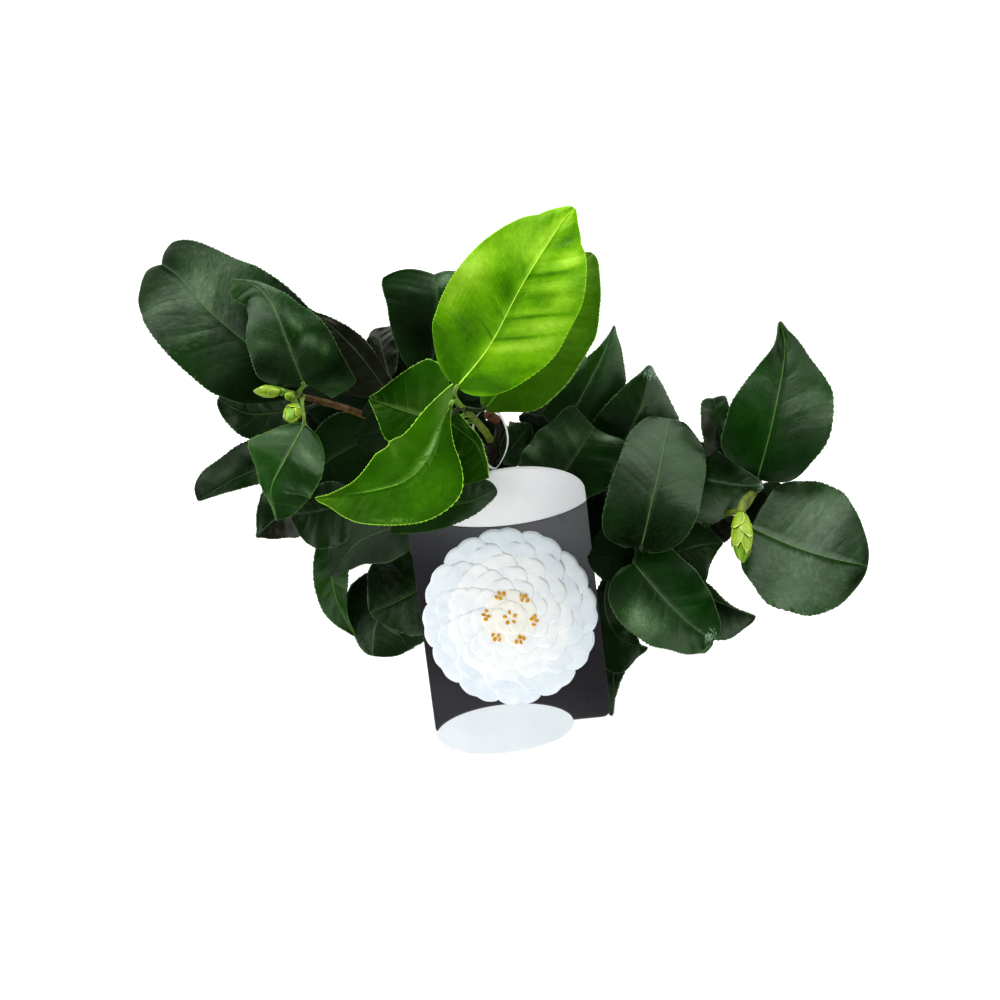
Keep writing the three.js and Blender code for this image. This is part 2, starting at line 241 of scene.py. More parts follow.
def noise(nodes, links, scale, detail=3.0, rough=0.55, stretch=None, distortion=0.0):
    tc = nodes.new("ShaderNodeTexCoord")
    n = nodes.new("ShaderNodeTexNoise")
    n.inputs["Scale"].default_value = scale
    n.inputs["Detail"].default_value = detail
    n.inputs["Roughness"].default_value = rough
    n.inputs["Distortion"].default_value = distortion
    if stretch:
        mp = nodes.new("ShaderNodeMapping")
        mp.inputs["Scale"].default_value = stretch
        links.new(tc.outputs["Object"], mp.inputs["Vector"])
        links.new(mp.outputs[0], n.inputs["Vector"])
    else:
        links.new(tc.outputs["Object"], n.inputs["Vector"])
    return n.outputs["Fac"]


def ramp(nodes, links, fac, stops):
    r = nodes.new("ShaderNodeValToRGB")
    e = r.color_ramp.elements
    while len(e) > 2:
        e.remove(e[-1])
    e[0].position, e[0].color = stops[0]
    e[1].position, e[1].color = stops[-1]
    for pos, col in stops[1:-1]:
        x = e.new(pos)
        x.color = col
    links.new(fac, r.inputs[0])
    return r.outputs[0]


def spread(nodes, links, fac, lo, hi):
    m = nodes.new("ShaderNodeMapRange")
    m.inputs["From Min"].default_value = 0.3
    m.inputs["From Max"].default_value = 0.7
    m.inputs["To Min"].default_value = lo
    m.inputs["To Max"].default_value = hi
    links.new(fac, m.inputs["Value"])
    return m.outputs[0]


def bump(nodes, links, bsdf, pairs):
    """pairs: (height socket, distance in metres, strength), added one on another."""
    last = None
    for fac, dist, strength in pairs:
        b = nodes.new("ShaderNodeBump")
        b.inputs["Distance"].default_value = dist
        b.inputs["Strength"].default_value = strength
        links.new(fac, b.inputs["Height"])
        if last is not None:
            links.new(last, b.inputs["Normal"])
        last = b.outputs[0]
    links.new(last, bsdf.inputs["Normal"])


def cells(nodes, links, scale):
    tc = nodes.new("ShaderNodeTexCoord")
    v = nodes.new("ShaderNodeTexVoronoi")
    v.feature = "DISTANCE_TO_EDGE"
    v.inputs["Scale"].default_value = scale
    links.new(tc.outputs["Object"], v.inputs["Vector"])
    return v.outputs[0]


def leaf_finish(c1, c2, c3, rough, spec, net=0.5, mottle=38, coat=0.0, tint=(1.0, 1.0, 1.0, 1.0)):
    def build(nodes, links, b):
        big = noise(nodes, links, mottle, 3.0, 0.5)
        col = ramp(nodes, links, big, [(0.32, lin(*c1)), (0.5, lin(*c2)), (0.7, lin(*c3))])
        fine = noise(nodes, links, 420, 2.0, 0.6)
        mix = nodes.new("ShaderNodeMix")
        mix.data_type = "RGBA"
        mix.blend_type = "MULTIPLY"
        mix.inputs[0].default_value = 0.5
        links.new(col, mix.inputs[6])
        grey = ramp(nodes, links, fine, [(0.3, (0.72, 0.76, 0.72, 1)), (0.7, (1.0, 1.0, 1.0, 1))])
        links.new(grey, mix.inputs[7])
        links.new(mix.outputs[2], b.inputs["Base Color"])
        links.new(spread(nodes, links, noise(nodes, links, 130, 2.0), rough[0], rough[1]), b.inputs["Roughness"])
        b.inputs["Specular IOR Level"].default_value = spec
        b.inputs["Specular Tint"].default_value = tint
        b.inputs["Coat Weight"].default_value = coat
        b.inputs["Coat Roughness"].default_value = 0.22
        bump(nodes, links, b, [(noise(nodes, links, 210, 2.0), 0.00022, 1.0), (cells(nodes, links, 560), 0.00008, net),
                               (noise(nodes, links, 1600, 2.0), 0.00004, 0.6)])
    return build


def plain_finish(c1, c2, rough, spec=0.5, scale=300, depth=0.0001, strength=0.5, stretch=None):
    def build(nodes, links, b):
        links.new(ramp(nodes, links, noise(nodes, links, scale, 3.0, stretch=stretch), [(0.35, lin(*c1)), (0.68, lin(*c2))]), b.inputs["Base Color"])
        links.new(spread(nodes, links, noise(nodes, links, scale * 0.6, 2.0), rough - 0.05, rough + 0.08), b.inputs["Roughness"])
        b.inputs["Specular IOR Level"].default_value = spec
        bump(nodes, links, b, [(noise(nodes, links, scale * 3, 3.0, stretch=stretch), depth, strength)])
    return build


# lamina, midrib, vein, margin, underside, underside rib
LOOKS = {}


def look(name, lam, rib, vein, rim, under, under_rib, rough=(0.30, 0.42), spec=0.5, net=0.35, coat=0.0, mottle=38):
    tint = (0.92, 1.0, 0.34, 1.0) if name in ("lime", "fresh", "mid", "shade") else (0.94, 1.0, 0.92, 1.0)
    ids = [material("leaf_" + name, leaf_finish(*lam, rough, spec, net, mottle, coat, tint)),
           material("rib_" + name, plain_finish(rib, tuple(min(255, int(c * 1.12)) for c in rib), 0.42, min(spec, 0.4))),
           material("vein_" + name, plain_finish(vein, tuple(min(255, int(c * 1.12)) for c in vein), 0.38, spec)),
           material("rim_" + name, plain_finish(rim, tuple(min(255, int(c * 1.15)) for c in rim), 0.42, min(spec, 0.4))),
           material("under_" + name, leaf_finish(*under, (0.50, 0.62), 0.35, 0.5)),
           material("under_rib_" + name, plain_finish(under_rib, tuple(min(255, int(c * 1.1)) for c in under_rib), 0.5, 0.4))]
    LOOKS[name] = ids


U_DARK = ((62, 84, 38), (74, 96, 44), (86, 106, 52))
# inner: leaves inside the crown, darkened nearly to black with little spec as painted shade.
look("inner", ((5, 20, 2), (8, 27, 3), (12, 36, 5)), (26, 48, 16), (14, 40, 7), (18, 38, 11), U_DARK, (96, 116, 58), rough=(0.56, 0.66), spec=0.06)
look("deep", ((12, 38, 5), (17, 48, 7), (24, 60, 10)), (58, 88, 34), (30, 68, 15), (44, 72, 32), U_DARK, (112, 132, 66), spec=0.32)
look("dark", ((16, 46, 7), (22, 57, 9), (30, 72, 13)), (76, 112, 44), (38, 82, 20), (54, 84, 40), U_DARK, (118, 140, 70))
look("green", ((22, 62, 8), (31, 78, 11), (42, 94, 17)), (118, 160, 50), (50, 104, 26), (78, 114, 48), U_DARK, (122, 146, 72), spec=0.75)
U_YOUNG = ((96, 132, 38), (112, 148, 44), (126, 160, 54))
look("shade", ((46, 84, 2), (58, 100, 3), (74, 118, 6)), (92, 136, 40), (62, 112, 14), (104, 142, 50), U_YOUNG, (160, 190, 84), net=0.25, spec=0.3)
look("mid", ((20, 62, 1), (30, 76, 2), (42, 92, 3)), (80, 126, 30), (46, 100, 8), (116, 160, 62), U_YOUNG, (160, 190, 84), net=0.25, spec=0.3)
look("fresh", ((30, 72, 0), (42, 90, 1), (60, 112, 2)), (96, 150, 28), (50, 102, 2), (140, 184, 56), U_YOUNG, (176, 206, 92), rough=(0.32, 0.44), net=0.25, spec=0.3)
look("lime", ((80, 134, 0), (98, 154, 1), (122, 174, 4)), (176, 216, 70), (102, 164, 3), (124, 178, 16), U_YOUNG, (186, 214, 96), rough=(0.30, 0.42), net=0.25, spec=0.4, mottle=52)
look("umber", ((24, 28, 16), (33, 36, 22), (44, 46, 31)), (70, 92, 44), (40, 52, 24), (52, 60, 34), U_DARK, (112, 132, 66), spec=0.4)
M_UMBER = LOOKS["umber"][0]
M_DUST = material("leaf_dust", plain_finish((104, 130, 108), (150, 174, 156), 0.6, 0.3))


def steps(name, first, last, count, rough, spec, net, mottle, tint=(0.94, 1.0, 0.92, 1.0)):
    """Plain colours that lead from one to another, the first left out."""
    made = []
    for k in range(1, count + 1):
        f = k / count
        lam = [tuple(int(round(p + (q - p) * f)) for p, q in zip(c, d)) for c, d in zip(first, last)]
        made.append(material("leaf_%s_%d" % (name, k), leaf_finish(*lam, rough, spec[0] + (spec[1] - spec[0]) * f, net, mottle, 0.0, tint)))
    return made


C_LIME, C_FRESH = ((80, 134, 0), (98, 154, 1), (122, 174, 4)), ((30, 72, 0), (42, 90, 1), (60, 112, 2))
C_GREEN, C_DARK, C_DEEP, C_INNER = (((22, 62, 8), (31, 78, 11), (42, 94, 17)), ((16, 46, 7), (22, 57, 9), (30, 72, 13)),
                                    ((12, 38, 5), (17, 48, 7), (24, 60, 10)), ((5, 20, 2), (8, 27, 3), (12, 36, 5)))
YOUNG_TINT = (0.92, 1.0, 0.34, 1.0)
# Paler lime: partly the young leaf's own yellow patches, partly painted sheen. Darker lime: painted shade at the leaf's
# base and painted shadow lines along the veins.
PALER_SHEEN = steps("lime_sheen", C_LIME, ((128, 172, 34), (148, 190, 54), (168, 208, 80)), 6, (0.30, 0.42), (0.4, 0.4), 0.25, 52, YOUNG_TINT)
LOWER_SHADE = steps("lime_shaded", C_LIME, ((48, 94, 0), (60, 112, 1), (78, 132, 2)), 5, (0.30, 0.42), (0.4, 0.3), 0.25, 52, YOUNG_TINT)
# Painted highlight on C3: a pale streak along the fold of the midrib and along the lower margin.
CREASE_HIGHLIGHT = steps("fresh_highlight", C_FRESH, ((92, 134, 66), (108, 150, 82), (126, 166, 100)), 5, (0.32, 0.44), (0.3, 0.5), 0.25, 38, YOUNG_TINT)
# Painted sheen on deep leaves.
DEEP_SHEEN = steps("deep_sheen", C_DEEP, ((34, 56, 32), (44, 66, 42), (54, 78, 52)), 4, (0.30, 0.42), (0.32, 0.6), 0.3, 38)
# Painted sheen on dark leaves.
SHEEN = steps("dark_sheen", C_DARK, ((54, 82, 52), (66, 94, 64), (80, 108, 78)), 5, (0.30, 0.42), (0.5, 0.7), 0.3, 38)
# Painted highlight on green leaves.
GLEAM = steps("green_sheen", C_GREEN, ((74, 108, 62), (88, 122, 76), (104, 136, 92)), 5, (0.30, 0.42), (0.75, 0.8), 0.3, 38)
# Painted shade on dark leaves: darker towards the inner colour, with less spec.
GLOOM = steps("dark_shaded", C_DARK, C_INNER, 5, (0.34, 0.48), (0.5, 0.08), 0.3, 38)
# Painted shade on deep leaves: darker towards the inner colour, with less spec.
DEEP_SHADE = steps("deep_shaded", C_DEEP, C_INNER, 7, (0.34, 0.48), (0.32, 0.08), 0.3, 38)
# Painted highlight: bright glints on dark leaves.
GLINT = steps("dark_glint", C_DARK, ((96, 122, 94), (114, 140, 112), (132, 156, 130)), 7, (0.30, 0.42), (0.5, 0.7), 0.3, 38)
# Painted sheen, paler, on deep leaves.
PALE_SHEEN = steps("deep_pale_sheen", C_DEEP, ((72, 94, 68), (86, 108, 82), (100, 122, 98)), 6, (0.30, 0.42), (0.32, 0.6), 0.3, 38)
LIVELY = steps("fresh_lime", C_FRESH, C_LIME, 11, (0.32, 0.44), (0.3, 0.35), 0.25, 38, YOUNG_TINT)
# Painted shade: a darker, more saturated green with little spec where a dark leaf catches no sheen.
SHADED_GREEN = steps("dark_green_shaded", C_DARK, ((9, 42, 1), (13, 54, 2), (19, 68, 4)), 4, (0.36, 0.50), (0.4, 0.1), 0.3, 38)

# Places on a leaf painted in colours of their own: mostly painted sheen and
# highlight (the colours upwards) and painted shade (the colours downwards), a
# few the leaf's own colours (lime patches, a brown underside, dust). Each: the
# colours upwards and downwards, the lean of the places, how loosely they are
# dealt, and for each place how far across and along it lies, its reach and how
# much it takes.
PLACES = {
    "C1": [(PALER_SHEEN, LOWER_SHADE, 0.18, 0.10,
            [(0.30, 0.235, 0.36, 0.034, 0.95), (0.62, 0.345, 0.50, 0.044, 0.85), (0.36, 0.420, 0.44, 0.022, 0.6), (0.34, 0.550, 0.50, 0.036, 0.9),
             (0.66, 0.660, 0.40, 0.050, 0.85), (0.74, 0.475, 0.26, 0.042, 0.95), (0.80, 0.260, 0.24, 0.050, 0.7), (0.20, 0.900, 0.34, 0.034, 0.5), (-0.14, 0.770, 0.24, 0.120, 0.9), (-0.66, 0.420, 0.32, 0.130, 0.7),
             (-0.52, 0.640, 0.38, 0.080, 0.6), (-0.90, 0.270, 0.20, 0.130, 1.25),
             (-0.44, 0.200, 0.46, 0.130, -0.75), (-0.22, 0.500, 0.28, 0.080, -0.75), (0.36, 0.765, 0.36, 0.032, -0.8), (-0.60, -0.040, 0.70, 0.100, -1.0),
             (0.70, -0.030, 0.80, 0.060, -1.0), (0.26, 0.030, 0.36, 0.040, -0.9), (0.66, 0.090, 0.40, 0.040, -0.5), (0.40, 0.615, 0.52, 0.012, -0.9), (0.40, 0.392, 0.48, 0.010, -0.9), (0.36, 0.285, 0.42, 0.009, -0.9)])],
    "C3": [(CREASE_HIGHLIGHT, [], 0.0, 0.06, [(0.05, 0.28, 0.12, 0.17, 0.95), (-0.90, 0.60, 0.10, 0.10, 0.6)]),
           (LIVELY, [], 0.0, 0.06, [(0.0, 0.96, 1.4, 0.12, 0.8), (-0.62, 0.42, 0.34, 0.15, 0.34)])],
    "L1": [(PALE_SHEEN, DEEP_SHADE, 0.1, 0.10, [(0.0, 0.06, 1.3, 0.22, -1.0), (0.7, 0.30, 0.5, 0.10, -0.6), (0.16, 0.74, 0.40, 0.10, 0.45), (-0.50, 0.58, 0.36, 0.045, 0.4),
                                        (-0.55, 0.74, 0.34, 0.045, 0.35)])],
    "L2": [(GLINT, GLOOM, 0.12, 0.10, [(0.34, 0.42, 0.15, 0.050, 0.60), (0.44, 0.35, 0.13, 0.030, 0.5), (0.40, 0.26, 0.16, 0.036, 0.65), (0.56, 0.21, 0.15, 0.040, 0.7),
                                      (0.72, 0.13, 0.14, 0.040, 0.6), (-0.40, 0.62, 0.40, 0.050, 0.4), (-0.62, 0.30, 0.22, 0.040, 0.35),
                                      (0.75, 0.02, 0.6, 0.06, -0.8), (-0.7, 0.14, 0.5, 0.12, -0.6)])],
    "L6": [(GLEAM, [], 0.1, 0.10, [(-0.48, 0.20, 0.34, 0.060, 1.1), (0.70, 0.10, 0.42, 0.045, 1.0), (-0.2, 0.32, 0.20, 0.03, 0.5)])],
    "L5": [(PALE_SHEEN, DEEP_SHADE, 0.1, 0.10, [(0.32, 0.90, 0.34, 0.06, 0.7), (-0.35, 0.42, 0.60, 0.28, -0.9)])],
    "L12": [([], DEEP_SHADE, 0.1, 0.10, [(-0.80, 0.46, 0.60, 0.32, -0.7), (0.10, 0.08, 1.1, 0.20, -0.5)])],
    "L14": [([], GLOOM, 0.1, 0.10, [(0.70, 0.56, 0.60, 0.22, -1.1)])],
    "L15": [([], GLOOM, 0.1, 0.10, [(0.55, 0.48, 0.60, 0.34, -1.0), (-0.70, 0.40, 0.45, 0.28, -0.5)])],
    "L10": [([M_UMBER], [], 0.0, 0.3, [(-0.6, 0.5, 0.6, 0.6, 1.0)])],
    "L8": [(DEEP_SHEEN, DEEP_SHADE, 0.1, 0.10, [(0.80, 0.30, 0.26, 0.13, 1.0), (0.40, 0.60, 0.18, 0.18, 0.7), (0.86, 0.75, 0.2, 0.1, 0.6), (0.25, 0.30, 0.2, 0.2, -0.9)]),
           ([M_UMBER], [], 0.0, 0.3, [(-0.6, 0.16, 0.8, 0.22, 1.0)])],
    "R3": [(GLINT, SHADED_GREEN, 0.12, 0.10, [(-0.55, 0.62, 0.42, 0.10, 0.4), (-0.26, 0.77, 0.30, 0.07, 0.55), (-0.86, 0.38, 0.16, 0.11, 0.75), (0.55, 0.91, 0.44, 0.045, 0.9), (0.62, 0.76, 0.44, 0.060, -0.8),
                                      (0.60, 0.30, 0.50, 0.18, -0.7), (0.45, 0.62, 0.40, 0.035, -0.7)])],
    "R10": [(SHEEN, GLOOM, 0.0, 0.10, [(-0.45, 0.34, 0.5, 0.30, 0.45), (0.50, 0.45, 0.5, 0.34, 0.45), (0.55, 0.94, 0.55, 0.10, -1.0), (-0.5, 0.98, 0.6, 0.05, -0.8)])],
    "R2": [([M_DUST], [], 0.0, 0.3, [(0.0, 0.95, 1.2, 0.07, 0.5)])],
    "R4": [([], GLOOM, 0.0, 0.08, [(0.0, -0.04, 1.6, 0.30, -1.05)])],
    "R5": [(GLINT, SHADED_GREEN, 0.1, 0.10, [(0.64, 0.31, 0.34, 0.12, 0.75), (0.50, 0.50, 0.20, 0.05, 0.3), (-0.62, 0.36, 0.55, 0.34, -0.9), (-0.75, 0.76, 0.50, 0.20, -0.9),
                                       (0.1, 0.0, 1.2, 0.12, -0.8)]),
           ([M_DUST], [], 0.0, 0.3, [(-0.1, 0.95, 0.5, 0.05, 0.45)])],
    "R8": [(PALE_SHEEN, DEEP_SHADE, 0.0, 0.08, [(0.66, 0.42, 0.52, 0.50, 0.85), (-0.6, 0.4, 0.5, 0.5, -0.8)]),
           ([M_DUST], [], 0.0, 0.3, [(0.0, 0.99, 1.2, 0.06, 0.8)])],
    "R9": [([], SHADED_GREEN, 0.12, 0.10, [(-0.45, 0.22, 0.55, 0.20, -0.9), (0.35, 0.08, 0.60, 0.12, -0.85)])],
    "R7": [([], GLOOM, 0.1, 0.10, [(0.0, 0.50, 0.40, 0.60, -1.0), (0.55, 0.12, 0.8, 0.22, -0.9)])],
    "R15": [([], DEEP_SHADE, 0.1, 0.10, [(0.2, 0.30, 1.3, 0.32, -1.0)])],
    "R16": [([], GLOOM, 0.0, 0.10, [(0.0, 0.50, 1.3, 0.36, -0.8)])],
    "R14": [([M_UMBER], [], 0.0, 0.3, [(-0.7, 0.35, 0.7, 0.5, 1.0)])],
}

M_BARK = material("bark", plain_finish((84, 66, 44), (134, 112, 82), 0.8, 0.25, 240, 0.0005, 0.9, (1, 1, 0.35)))
M_BARK_DARK = material("bark_dark", plain_finish((34, 26, 16), (52, 42, 28), 0.7, 0.25, 300, 0.0004, 0.7))
M_TWIG = material("twig_brown", plain_finish((70, 52, 24), (124, 96, 46), 0.62, 0.35, 420, 0.0003, 0.7))
M_RED = material("twig_red", plain_finish((78, 42, 26), (106, 62, 40), 0.6, 0.35, 420, 0.0003, 0.6))
M_SHOOT = material("shoot_green", plain_finish((80, 94, 20), (112, 126, 32), 0.46, 0.45, 320, 0.0001, 0.4))
M_STALK = material("leaf_stalk", plain_finish((84, 118, 38), (122, 154, 54), 0.42, 0.45, 320, 0.0001, 0.3))
# Painted shade: a darker stalk green for stalks in the shade of the leaves.
M_STALK_SHADED = material("leaf_stalk_dark", plain_finish((28, 44, 13), (44, 64, 21), 0.46, 0.3, 320, 0.0001, 0.3))
M_BUD = material("bud_green", plain_finish((116, 144, 16), (146, 168, 32), 0.38, 0.5, 260, 0.00006, 0.4))
M_BUD_TIP = material("bud_pale", plain_finish((158, 178, 70), (194, 206, 120), 0.42, 0.45, 260, 0.00005, 0.3))
M_BUD_CORE = material("bud_scale_green", plain_finish((96, 136, 10), (124, 160, 20), 0.38, 0.5, 260, 0.00006, 0.4))
M_CARD = material("card_white", plain_finish((224, 230, 233), (232, 237, 240), 0.34, 0.5, 30, 0.00002, 0.2))
# Painted light: the top of the card in a brighter white, to make up for the shade where its bend tilts it from the
# light.
M_CARD_TOP_LIT = material("card_white_head_lit", plain_finish((240, 242, 245), (252, 253, 254), 0.34, 0.5, 26, 0.00002, 0.2))
M_STRAP = material("strap_white", plain_finish((190, 193, 194), (214, 216, 217), 0.36, 0.5, 90, 0.00002, 0.2))


def ground_finish(nodes, links, b):
    tc = nodes.new("ShaderNodeTexCoord")
    mp = nodes.new("ShaderNodeMapping")
    mp.vector_type = "POINT"
    mp.inputs["Rotation"].default_value = (0, 0, math.radians(-75))
    mp.inputs["Scale"].default_value = (14.0, 14.0, 14.0)
    mp.inputs["Location"].default_value = (1.40, 0.0, 0.0)
    links.new(tc.outputs["Object"], mp.inputs["Vector"])
    g = nodes.new("ShaderNodeTexGradient")
    links.new(mp.outputs[0], g.inputs["Vector"])
    col = ramp(nodes, links, g.outputs[1], [(0.0, lin(62, 62, 66)), (0.25, lin(42, 40, 44)), (0.60, lin(44, 43, 47)), (0.75, lin(66, 67, 71)), (1.0, lin(112, 113, 116))])
    links.new(col, b.inputs["Base Color"])
    links.new(spread(nodes, links, noise(nodes, links, 60, 2.0), 0.26, 0.34), b.inputs["Roughness"])
    bump(nodes, links, b, [(noise(nodes, links, 700, 2.0), 0.00002, 0.3)])


M_GROUND = material("card_ground", ground_finish)
M_PETAL_A = material("print_petal_cool", plain_finish((226, 234, 240), (240, 245, 249), 0.45, 0.4, 120, 0.00003, 0.3))
M_PETAL_B = material("print_petal_white", plain_finish((238, 242, 244), (250, 252, 252), 0.45, 0.4, 120, 0.00003, 0.3))
M_PETAL_C = material("print_petal_warm", plain_finish((242, 242, 234), (251, 250, 244), 0.45, 0.4, 120, 0.00003, 0.3))
M_PETAL_S = material("print_petal_shade", plain_finish((210, 219, 227), (226, 233, 239), 0.48, 0.4, 120, 0.00003, 0.3))
M_OCHRE = material("print_ochre", plain_finish((206, 148, 30), (232, 184, 60), 0.5, 0.4, 200, 0.00003, 0.3))

